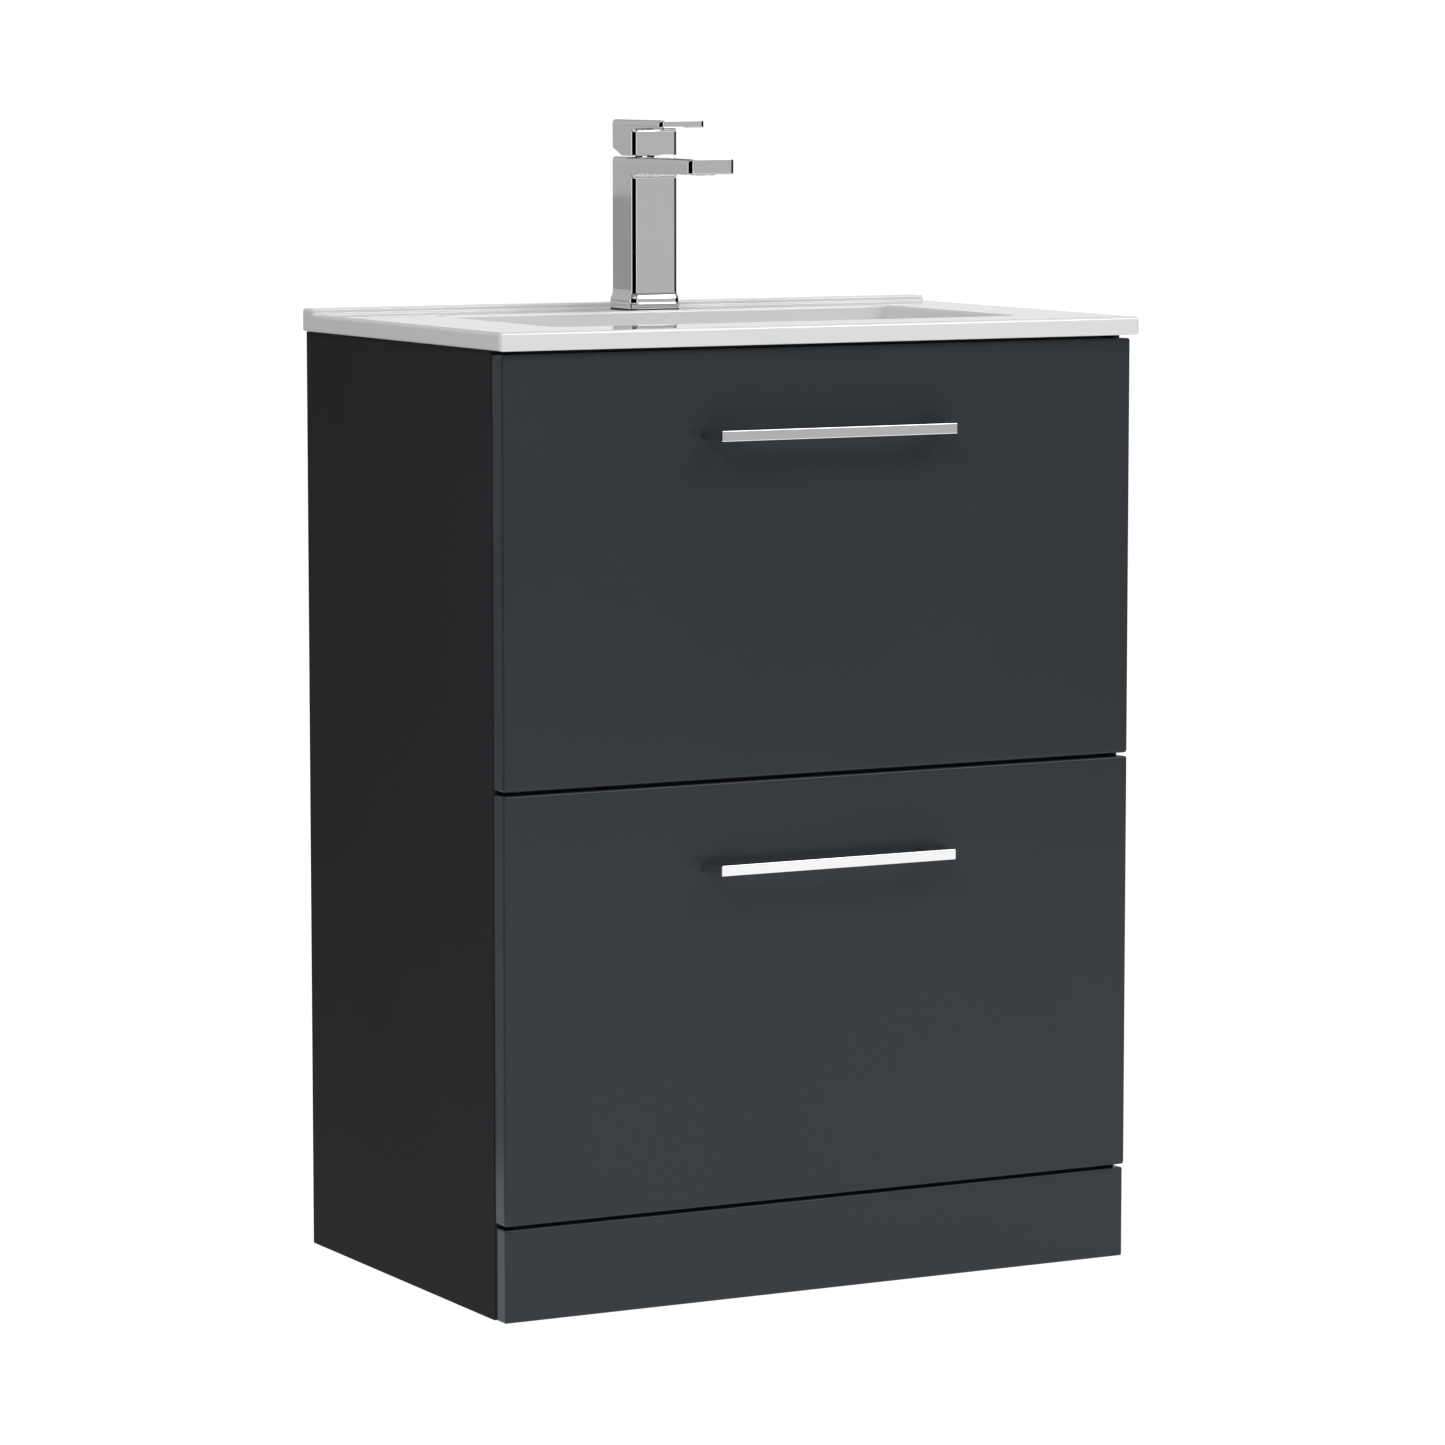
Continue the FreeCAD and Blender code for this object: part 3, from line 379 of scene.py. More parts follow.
def glaze(name, colour):
    """Vitreous glaze: glassy, with a slow waviness and hardly any change of tone."""
    finish = Finish(name, Coat_Weight=1.0, Coat_Roughness=0.02)
    finish.colour(finish.noise(4.0, 2.0), *shades(colour, 0.012))
    finish.roughness(finish.noise(14.0, 3.0), 0.055, 0.065)
    finish.bump(finish.noise(18.0, 1.0), 0.00002, 0.25)
    return finish.material


def plated(name, colour, low, high, grain=(1, 1, 1), scale=60.0, depth=0.00001):
    """Plated or brushed metal: the grain stretches along the axes given."""
    finish = Finish(name, Metallic=1.0)
    grained = finish.noise(scale, 4.0, grain)
    finish.colour(finish.noise(scale * 0.4, 3.0, grain), *shades(colour, 0.02))
    finish.roughness(grained, low, high)
    finish.bump(grained, depth, 0.4)
    return finish.material


def moulded(name, colour, low, high, scale=500.0):
    """Moulded plastic or rubber with a fine spark-eroded skin."""
    finish = Finish(name)
    finish.colour(finish.noise(25.0, 3.0), *shades(colour, 0.05))
    finish.roughness(finish.noise(80.0, 4.0), low, high)
    finish.bump(finish.noise(scale, 2.0), 0.00006, 0.5)
    return finish.material


def beech(name, colour):
    """Raw beech: long pores along X."""
    finish = Finish(name)
    pores = finish.noise(240.0, 5.0, (0.08, 1.0, 1.0))
    finish.colour(pores, *shades(colour, 0.18))
    finish.roughness(pores, 0.55, 0.75)
    finish.bump(pores, 0.0001)
    return finish.material


def make_finishes(colours):
    """One material for each of the record's slots."""
    return {
        "front_panel": lacquer("front_lacquer", colours.lacquer, 0.2, 0.17, 0.21),
        "carcass_panel": lacquer("carcass_lacquer", colours.carcass, 0.0, 0.40, 0.48),
        "inner_board": foil("inner_board_foil", colours.inner),
        "drawer_board": foil("drawer_board_foil", colours.drawer),
        "dowel_wood": beech("raw_beech", colours.beech),
        "block_plastic": moulded("block_plastic", (0.05, 0.05, 0.055), 0.45, 0.6),
        "zinc_fitting": plated("zinc_plate", (0.62, 0.64, 0.66), 0.28, 0.42, scale=180.0),
        "runner_steel": plated("runner_steel", (0.60, 0.62, 0.64), 0.25, 0.4, (1.0, 0.03, 1.0),
                               scale=700.0, depth=0.00002),
        "soft_clear": moulded("soft_clear", (0.70, 0.72, 0.74), 0.3, 0.4),
        "ceramic": glaze("white_glaze", colours.ceramic),
        "chrome": plated("polished_chrome", colours.chrome, 0.02, 0.045, scale=40.0, depth=0.0000005),
        "rubber": moulded("black_rubber", (0.02, 0.02, 0.02), 0.6, 0.75),
        "trap_plastic": moulded("trap_plastic", colours.trap, 0.32, 0.44),
        "brass_fitting": plated("turned_brass", (0.72, 0.53, 0.26), 0.2, 0.32, scale=300.0),
        "cartridge_plastic": moulded("cartridge_plastic", (0.22, 0.23, 0.25), 0.4, 0.5),
    }


FINISHES = {}                     # filled by main(), one material for each slot


# ---------------------------------------------------------------- properties
def colour_property(name, default, description):
    return FloatVectorProperty(name=name, subtype="COLOR", size=3, min=0, max=1, default=default,
                               description=description)


def length_property(name, default, description):
    return FloatProperty(name=name, subtype="DISTANCE", unit="LENGTH", min=0, default=default,
                         precision=4, description=description)


class VanityColours(bpy.types.PropertyGroup):
    """Colours of the finishes."""

    lacquer: colour_property("Lacquer", (0.0305, 0.0351, 0.0407), "Drawer fronts and plinth")
    carcass: colour_property("Carcass", (0.0325, 0.0338, 0.0363), "Side panels")
    inner: colour_property("Inner boards", (0.050, 0.055, 0.060), "Rails and base panel")
    drawer: colour_property("Drawer boxes", (0.40, 0.41, 0.42), "Foil on the drawer boards")
    beech: colour_property("Beech", (0.55, 0.38, 0.22), "Dowels")
    ceramic: colour_property("Glaze", (0.79, 0.79, 0.785), "Basin")
    chrome: colour_property("Chrome", (0.80, 0.80, 0.81), "Tap, handles and waste")
    trap: colour_property("Trap", (0.78, 0.78, 0.76), "Trap and outlet pipe")


class VanitySizes(bpy.types.PropertyGroup):
    """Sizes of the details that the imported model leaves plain."""

    board_edge: length_property("Board edge", 0.6 * MM, "Rounding of the boards' edges")
    front_edge: length_property("Front edge", 2.2 * MM, "Rounding of the drawer fronts' faces")
    basin_edge: length_property("Basin edge", 3.0 * MM, "Rounding of the basin's outer edges")
    upstand_depth: length_property("Upstand depth", 20.5 * MM, "Raised rim along the wall")
    upstand_height: length_property("Upstand height", 4.5 * MM, "Height of the rim above the deck")
    edge_height: length_property("Edge height", 15.5 * MM, "Visible edge of the basin")
    bowl_width: length_property("Bowl width", 440 * MM, "Bowl opening across")
    bowl_length: length_property("Bowl length", 234 * MM, "Bowl opening front to back")
    bowl_setback: length_property("Bowl setback", 65 * MM, "Deck ahead of the bowl")
    bowl_rim: length_property("Bowl rim", 2.6 * MM, "Rounding of the bowl's rim")
    handle_edge: length_property("Handle edge", 0.8 * MM, "Rounding of the handles' edges")
    tap_edge: length_property("Tap edge", 4.5 * MM, "Rounding of the tap's edges")


class VanityStage(bpy.types.PropertyGroup):
    """Camera and light."""

    azimuth: FloatProperty(name="Azimuth", subtype="ANGLE", default=math.radians(-28.09),
                           description="Turn of the camera about the cabinet")
    elevation: FloatProperty(name="Elevation", subtype="ANGLE", default=math.radians(6.53),
                             description="Height of the camera above the horizon")
    distance: length_property("Distance", 5.154, "Camera to the point it looks at")
    lens: FloatProperty(name="Lens", unit="CAMERA", default=148.42, description="Focal length")
    aim: FloatVectorProperty(name="Aim", subtype="TRANSLATION", default=(0.0014, 0.0062, 0.4645),
                             description="Point that the camera looks at")


# ---------------------------------------------------------------- boards
def board_pieces(body, slot, edge, thin):
    """One rounded board for each node, or for each of a mirrored pair in one node.

    thin maps a node to the axis across its thickness, and to the thickness of a mirrored pair's
    boards, which stand at both ends of the node's box in X, or to None for a single board.
    """
    for node, (axis, pair) in thin.items():
        low, high = node_box(node)
        if pair is None:
            shape = board(low, high, edge, axis)
        else:
            left_high = high.copy()
            left_high[0] = low[0] + pair
            right_low = low.copy()
            right_low[0] = high[0] - pair
            shape = joined(board(low, left_high, edge, axis), board(right_low, high, edge, axis))
        piece(node + "_finished", shape, body, slot, node)


class VANITY_OT_carcass(bpy.types.Operator):
    """Side panels, base, rails and plinth of the cabinet"""

    bl_idname = "vanity.carcass"
    bl_label = "Carcass"

    def execute(self, context):
        edge = context.scene.vanity_sizes.board_edge
        board_pieces("cabinet", "carcass_panel", edge, {
            "side_panel_left": (0, None), "side_panel_right": (0, None)})
        board_pieces("cabinet", "inner_board", edge, {
            "base_panel": (2, None), "plinth_rear_rail": (1, None), "back_rail_top": (1, None),
            "back_rail_bottom": (1, None), "front_rail_top": (1, None), "middle_rail": (2, None)})
        low, high = node_box("plinth_front")
        shape = slab(rectangle(low[[0, 2]], high[[0, 2]]), [edge * 2] * 4, 1, low[1], high[1], edge * 3, edge)
        piece("plinth_front_finished", shape, "cabinet", "front_panel", "plinth_front")
        return {"FINISHED"}


# ---------------------------------------------------------------- drawers
BACK_EDGE = 0.4 * MM
THIN_BOARD = 12 * MM


def drawer_front(name, body, radius):
    """A lacquered front: round towards the room, crisp at the back."""
    low, high = node_box(name)
    shape = slab(rectangle(low[[0, 2]], high[[0, 2]]), [radius] * 4, 1, low[1], high[1], radius, BACK_EDGE)
    piece(name + "_finished", shape, body, "front_panel", name)


class VANITY_OT_drawers(bpy.types.Operator):
    """Both drawers: lacquered fronts and foil-covered boxes"""

    bl_idname = "vanity.drawers"
    bl_label = "Drawers"

    def execute(self, context):
        sizes = context.scene.vanity_sizes
        for level in ("lower", "upper"):
            drawer_front(level + "_drawer_front", level + "_drawer", sizes.front_edge)
        board_pieces("lower_drawer", "drawer_board", sizes.board_edge, {
            "lower_drawer_sides": (0, THIN_BOARD), "lower_drawer_base": (2, None),
            "lower_drawer_back": (1, None)})
        back_width = node_box("upper_drawer_backs")[1][0] - node_box("upper_recess_sides")[1][0]
        board_pieces("upper_drawer", "drawer_board", sizes.board_edge, {
            "upper_drawer_sides": (0, THIN_BOARD), "upper_recess_sides": (0, THIN_BOARD),
            "upper_recess_front": (1, None)})
        board_pieces("upper_drawer", "drawer_board", sizes.board_edge, {
            "upper_drawer_backs": (1, back_width)})
        self.upper_base(sizes.board_edge)
        return {"FINISHED"}

    def upper_base(self, edge):
        """The upper drawer's base, cut out round the trap."""
        low, high = node_box("upper_drawer_base")
        recess = node_box("upper_recess_front")
        left, right, front = recess[0][0], recess[1][0], recess[1][1]
        corners = [(low[0], low[1]), (high[0], low[1]), (high[0], high[1]), (right, high[1]),
                   (right, front), (left, front), (left, high[1]), (low[0], high[1])]
        shape = slab(corners, [edge] * 8, 2, low[2], high[2], edge)
        piece("upper_drawer_base_finished", shape, "upper_drawer", "drawer_board", "upper_drawer_base")


# ---------------------------------------------------------------- handles
HANDLE_BAR = 7 * MM
HANDLE_FOOT = 21 * MM
HANDLE_FLARE = 3.5 * MM
OUTER_SWEEP = 6 * MM
INNER_SWEEP = 9 * MM


class VANITY_OT_handles(bpy.types.Operator):
    """Chrome bar handles with broad feet that sweep into the bar"""

    bl_idname = "vanity.handles"
    bl_label = "Handles"

    def execute(self, context):
        edge = context.scene.vanity_sizes.handle_edge
        for level in ("lower", "upper"):
            low, high = node_box(level + "_handle")
            root = high[0]
            half = root - HANDLE_FLARE
            inner = half - HANDLE_FOOT
            rear = low[1] + HANDLE_BAR
            right = [(half, low[1], edge), (half, rear, OUTER_SWEEP), (root, high[1], edge / 2),
                     (inner, high[1], edge / 2), (inner, rear, INNER_SWEEP)]
            left = [(-x, y, radius) for x, y, radius in reversed(right)]
            outline = np.array(right + left)
            shape = slab(outline[:, :2], outline[:, 2], 2, low[2], high[2], edge)
            piece(level + "_handle_finished", shape, level + "_drawer", "chrome", level + "_handle")
        return {"FINISHED"}


# ---------------------------------------------------------------- runners
SHEET = 1.2 * MM
BEND_OUTSIDE = 1.1 * MM
BEND_INSIDE = 0.6 * MM
LIP_EDGE = 0.3 * MM
CHANNEL_END = 0.2 * MM
OUTER_REACH = 11 * MM
OUTER_HEIGHT = 45 * MM


def channel(x_web, x_open, low, high):
    """A rolled channel: its web stands at x_web and its flanges reach to x_open."""
    side = 1 if x_open > x_web else -1
    z0, z1 = low[2], high[2]
    corners = [(x_web, z0), (x_open, z0), (x_open, z0 + SHEET), (x_web + side * SHEET, z0 + SHEET),
               (x_web + side * SHEET, z1 - SHEET), (x_open, z1 - SHEET), (x_open, z1), (x_web, z1)]
    half = [BEND_OUTSIDE, LIP_EDGE, LIP_EDGE, BEND_INSIDE]
    radii = half + half[::-1]
    if side < 0:
        corners, radii = corners[::-1], radii[::-1]
    return slab(corners, radii, 1, low[1], high[1], CHANNEL_END)


class VANITY_OT_runners(bpy.types.Operator):
    """Nested steel runner members, rolled from sheet"""

    bl_idname = "vanity.runners"
    bl_label = "Runners"

    def execute(self, context):
        outer_low, outer_high = node_box("runner_outers")
        web, mouth = outer_high[0], outer_high[0] - OUTER_REACH
        outers = []
        for z0 in (outer_low[2], outer_high[2] - OUTER_HEIGHT):
            outers += self.pair(web, mouth, outer_low[1], outer_high[1], z0, z0 + OUTER_HEIGHT)
        piece("runner_outers_rolled", joined(*outers), "cabinet", "runner_steel", "runner_outers")
        for level in ("lower", "upper"):
            low, high = node_box(level + "_runner_middles")
            shape = joined(*self.pair(high[0], mouth, low[1], high[1], low[2], high[2]))
            piece(level + "_runner_middles_rolled", shape, level + "_runners", "runner_steel",
                  level + "_runner_middles")
            low, high = node_box(level + "_runner_inners")
            side = node_box(level + "_drawer_sides")[1][0]
            shape = joined(*self.pair(side, high[0], low[1], high[1], low[2], high[2]))
            piece(level + "_runner_inners_rolled", shape, level + "_drawer", "runner_steel",
                  level + "_runner_inners")
        return {"FINISHED"}

    def pair(self, x_web, x_open, y0, y1, z0, z1):
        """The same member on both sides of the centre line."""
        low, high = (0, y0, z0), (0, y1, z1)
        return [channel(x_web, x_open, low, high), channel(-x_web, -x_open, low, high)]


# ---------------------------------------------------------------- basin
BOWL_WALL = 7 * MM
BOWL_CORNER = 14 * MM
WALL_DEPTH = 66 * MM
WALL_LEAN = 8 * MM
BOWL_SWEEP = 46 * MM
BOWL_DEPTH = 104 * MM
FLOOR_RISE = 2.5 * MM
WASTE_HOLE = 22.5 * MM
SIDE_POINTS = 7
WALL_SHARES = np.linspace(0.08, 0.98, 5)
SWEEP_STEPS = 15
RIM_STEPS = 7
FLOOR_SHARES = (0.12, 0.35, 0.6, 0.82, 0.94, 1.0)
CORNER_GROWTH = 0.5               # the corner radius grows by this share of the inset
UNDERSIDE_FILLET = 1.5 * MM


def rounded_rectangles(half, front, back, radius, height):
    """Level rounded rectangles, one for each entry of the given arrays, as (rings, points, 3).

    Each has the same count of points: an arc at every corner and evenly shared points along every side.
    """
    rings = len(half)
    arc = np.linspace(0, math.pi / 2, ARC_STEPS + 1)
    share = np.linspace(0, 1, SIDE_POINTS + 2)[1:-1]
    middle, reach = (front + back) / 2, (back - front) / 2
    parts = []
    for quarter in range(4):
        angle = arc + quarter * math.pi / 2
        x_side, y_side = (1, 1, -1, -1)[quarter], (-1, 1, 1, -1)[quarter]
        turn = angle - math.pi / 2
        x = x_side * (half - radius)[:, None] + radius[:, None] * np.cos(turn)
        y = middle[:, None] + y_side * (reach - radius)[:, None] + radius[:, None] * np.sin(turn)
        parts.append(np.stack([x, y], axis=-1))
    points = []
    for quarter, part in enumerate(parts):
        following = parts[(quarter + 1) % 4]
        start, end = part[:, -1:], following[:, :1]
        points += [part, start + (end - start) * share[None, :, None]]
    flat = np.concatenate(points, axis=1)
    level = np.broadcast_to(np.asarray(height)[:, None, None], (rings, flat.shape[1], 1))
    return np.concatenate([flat, level], axis=-1)


class BowlShape:
    """Inside and outside of the bowl as one run of rings, from the deck to the basin's underside."""

    def __init__(self, sizes, low, deck, underside):
        self.half = sizes.bowl_width / 2
        self.front = low[1] + sizes.bowl_setback
        self.back = self.front + sizes.bowl_length
        self.rim = sizes.bowl_rim
        self.deck, self.underside = deck, underside

    def rings_at(self, inset, depth, corner):
        return rounded_rectangles(self.half - inset, self.front + inset, self.back - inset, corner,
                                  self.deck - depth)

    def wall(self):
        """(inset, depth) down the leaning wall and round a quarter ellipse to the floor."""
        turn = np.linspace(0, math.pi / 2, SWEEP_STEPS)
        drop = BOWL_DEPTH - FLOOR_RISE - WALL_DEPTH
        inset = np.concatenate([WALL_LEAN * WALL_SHARES, WALL_LEAN + BOWL_SWEEP * (1 - np.cos(turn))])
        depth = np.concatenate([WALL_DEPTH * WALL_SHARES, WALL_DEPTH + drop * np.sin(turn)])
        return inset, depth

    def inside(self):
        """Rim, walls and floor, then the floor drawn in to the round waste hole."""
        turn = np.linspace(0, math.pi / 2, RIM_STEPS)
        rim_inset = np.concatenate([[-self.rim - GUARD], -self.rim * (1 - np.sin(turn))])
        rim_depth = np.concatenate([[0], self.rim * (1 - np.cos(turn))])
        inset, depth = self.wall()
        inset, depth = np.concatenate([rim_inset, inset]), np.concatenate([rim_depth, depth])
        return self.rings_at(inset, depth, BOWL_CORNER + np.maximum(inset, 0) * CORNER_GROWTH)

    def outside(self):
        """The underside of the bowl, from its middle up to the slab."""
        inset, depth = self.wall()
        keep = depth > self.deck - self.underside
        inset, depth = inset[keep][::-1], depth[keep][::-1]
        corner = BOWL_CORNER + inset * CORNER_GROWTH + BOWL_WALL
        rings = self.rings_at(inset - BOWL_WALL, depth + BOWL_WALL + FLOOR_RISE * depth / BOWL_DEPTH, corner)
        top = self.rings_at(inset[-1:] - BOWL_WALL - UNDERSIDE_FILLET,
                            np.array([self.deck - self.underside]), corner[-1:])
        return np.concatenate([rings, top])

    def floor(self, ring, height_from, height_to):
        """Rings from a rounded rectangle to the waste hole: a straight blend of each point."""
        centre = np.array([0, (self.front + self.back) / 2])
        offset = ring[:, :2] - centre
        angle = np.arctan2(offset[:, 1], offset[:, 0])
        circle = centre + WASTE_HOLE * np.stack([np.cos(angle), np.sin(angle)], axis=-1)
        share = np.array(FLOOR_SHARES)[:, None, None]
        flat = ring[None, :, :2] * (1 - share) + circle[None] * share
        level = height_from + (height_to - height_from) * share
        return np.concatenate([flat, np.broadcast_to(level, flat.shape[:2] + (1,))], axis=-1)

    def rings(self):
        inside, outside = self.inside(), self.outside()
        floor_z = self.deck - BOWL_DEPTH
        inner = self.floor(inside[-1], floor_z + FLOOR_RISE, floor_z)
        outer = self.floor(outside[0], floor_z - BOWL_WALL, floor_z - BOWL_WALL)[::-1]
        return np.concatenate([inside, inner, outer, outside])


def basin_slab(sizes, low, high, deck, underside):
    """The deck with its edges and upstand: a side profile carried across, rounded at both ends."""
    edge = sizes.basin_edge
    step = high[1] - sizes.upstand_depth
    rows = [(low[1], underside, 1.2 * MM), (high[1], underside, 1.2 * MM), (high[1], high[2], 1.6 * MM),
            (step, high[2], 1.6 * MM), (step - 1.0 * MM, deck, 1.4 * MM), (low[1], deck, edge)]
    return profile_slab(rows, low[0], high[0], edge)


def at_height(part, height):
    """Whether all of a face's or an edge's vertices lie at one height."""
    return all(abs(vertex.co.z - height) < MERGE for vertex in part.verts)


def basin_mesh(sizes):
    """The slab and the bowl's rings, joined by flat fills on the deck and on the underside."""
    low, high = node_box("basin")
    deck = high[2] - sizes.upstand_height
    underside = deck - sizes.edge_height
    bowl = BowlShape(sizes, low, deck, underside)
    rings = bowl.rings()
    shape = joined(basin_slab(sizes, low, high, deck, underside),
                   (rings.reshape(-1, 3), tube_faces(*rings.shape[:2]).tolist()))
    mesh = mesh_of("basin_body", *shape)
    work = bmesh.new()
    work.from_mesh(mesh)
    bmesh.ops.remove_doubles(work, verts=work.verts, dist=MERGE)
    for height in (deck, underside):
        flat = [face for face in work.faces if at_height(face, height)]
        bmesh.ops.delete(work, geom=[max(flat, key=lambda face: face.calc_area())], context="FACES_ONLY")
        open_edges = [edge for edge in work.edges if edge.is_boundary and at_height(edge, height)]
        bmesh.ops.triangle_fill(work, use_beauty=True, use_dissolve=False, edges=open_edges)
    bmesh.ops.recalc_face_normals(work, faces=work.faces)
    work.to_mesh(mesh)
    work.free()
    return mesh


def drilled(obj, drill_shape):
    """Cuts one closed surface out of a piece and keeps the result as its mesh."""
    mesh = mesh_of("drill", *drill_shape)
    finish_mesh(mesh)
    drill = placed("drill", mesh)
    modifier = obj.modifiers.new("drill", "BOOLEAN")
    modifier.operation, modifier.solver, modifier.object = "DIFFERENCE", "EXACT", drill
    graph = bpy.context.evaluated_depsgraph_get()
    result = bpy.data.meshes.new_from_object(obj.evaluated_get(graph))
    obj.modifiers.clear()
    obj.data = result
    bpy.data.objects.remove(drill)


def tilted(shape, centre, angle):
    """The surface turned about X through centre."""
    points, faces = shape
    points = np.asarray(points) - centre
    cosine, sine = math.cos(angle), math.sin(angle)
    turn = np.array([[1, 0, 0], [0, cosine, -sine], [0, sine, cosine]])
    return points @ turn.T + centre, faces


OVERFLOW_DEPTH = 38 * MM
OVERFLOW_R = 12 * MM
RING_WIDTH = 2.5 * MM
BASIN_SHARP = 40
# rows of (radius, end, offset) for anchored(); the ends are the tail's foot, the flange, the top
WASTE_FLANGE = ((19, 0, 0), (19, 2, -0.9), (20, 2, -0.3), (23, 2, 0), (30, 2, -0.2), (32, 1, 0.8), (32, 1, 0),
                (21.9, 1, 0), (21.9, 0, 0))


class VANITY_OT_basin(bpy.types.Operator):
    """Glazed basin with its overflow ring and push waste"""

    bl_idname = "vanity.basin"
    bl_label = "Basin"

    def execute(self, context):
        sizes = context.scene.vanity_sizes
        mesh = basin_mesh(sizes)
        mesh.materials.append(FINISHES["ceramic"])
        basin = placed("basin_glazed", mesh)
        low, high = node_box("basin")
        deck = high[2] - sizes.upstand_height
        back = low[1] + sizes.bowl_setback + sizes.bowl_length
        slope = math.atan(WALL_LEAN / WALL_DEPTH)
        centre = np.array([0, back - OVERFLOW_DEPTH * math.tan(slope), deck - OVERFLOW_DEPTH])
        drill = turned([(OVERFLOW_R, -4 * MM), (OVERFLOW_R, 14 * MM)], centre, 1, 48)
        drilled(basin, tilted(drill, centre, -slope))
        basin.data.shade_smooth()
        basin.data.set_sharp_from_angle(angle=math.radians(BASIN_SHARP))
        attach(basin, "cabinet")
        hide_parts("basin")
        self.overflow(centre, slope)
        self.waste()
        return {"FINISHED"}

    def overflow(self, centre, slope):
        """A ring with a rolled lip, turned and then tilted with the bowl's rear wall."""
        lip, bore = OVERFLOW_R + RING_WIDTH, OVERFLOW_R - RING_WIDTH
        profile = [(bore, 6 * MM), (bore, -1.2 * MM), (bore + 1.2 * MM, -2 * MM),
                   (lip - 0.8 * MM, -2 * MM), (lip, -0.9 * MM), (lip, 0.1 * MM),
                   (OVERFLOW_R, 0.1 * MM), (OVERFLOW_R, 6 * MM)]
        ring = turned(soften(profile, 0.5 * MM), centre, 1, 64, True)
        piece("overflow_ring_turned", tilted(ring, centre, -slope), "cabinet", "chrome", "overflow_ring",
              sharp=TURNED_SHARP)

    def waste(self):
        """Flange with its tail, and the domed push plug above it."""
        low, high = node_box("waste_body")
        centre = centre_line("waste_body", 2)
        body = soften(anchored(WASTE_FLANGE, low[2], high[2] - 2.5 * MM, high[2]), 0.6 * MM)
        piece("waste_flange_turned", turned(body, centre, 2, 96, True), "cabinet", "chrome", "waste_body",
              sharp=TURNED_SHARP)
        low, high = node_box("waste_plug")
        cap, reach = high[2], high[0]
        share = np.linspace(0, 1, 10)
        dome = np.stack([(reach - 1.2 * MM) * share, cap - 1.1 * MM * share ** 2], axis=-1)[1:]
        skirt = [(reach, cap - 2.2 * MM), (reach, cap - 3.4 * MM), (reach - 0.6 * MM, cap - 4 * MM),
                 (15 * MM, cap - 4 * MM), (15 * MM, cap - 11 * MM), (5 * MM, cap - 11 * MM), (5 * MM, low[2])]
        profile = np.concatenate([[(0.2 * MM, cap)], dome, soften(skirt, 0.5 * MM)])
        piece("waste_plug_turned", turned(profile, centre, 2, 96), "plug", "chrome", "waste_plug",
              sharp=TURNED_SHARP)


# ---------------------------------------------------------------- tap
TAP_DEPTH = 42.5 * MM
SPOUT_ROOT = 14.2 * MM
SPOUT_TIP = 13.4 * MM
LEVER_ROOT = 8.0 * MM
LEVER_TIP = 6.6 * MM
LEVER_RELIEF = 8.4 * MM
# the flange is a stack of level outlines, the column's plan moved outwards by each growth at each
# rise: two upright steps, then a hollow sweep into the column
FLANGE_RISE = np.array([0, 0, 0.3, 0.6, 3.9, 4.2, 4.6, 4.9, 5.2, 5.4, 5.7,
                        8.5, 8.8, 9.2, 10.2, 12.0, 13.6, 15.4, 17.0]) * MM
FLANGE_GROW = np.array([2.0, 2.35, 2.5, 2.5, 2.5, 2.5, 2.42, 2.2, 2.02, 2.0, 1.99,
                        1.92, 1.9, 1.75, 1.15, 0.5, 0.2, 0.05, -0.03]) * MM


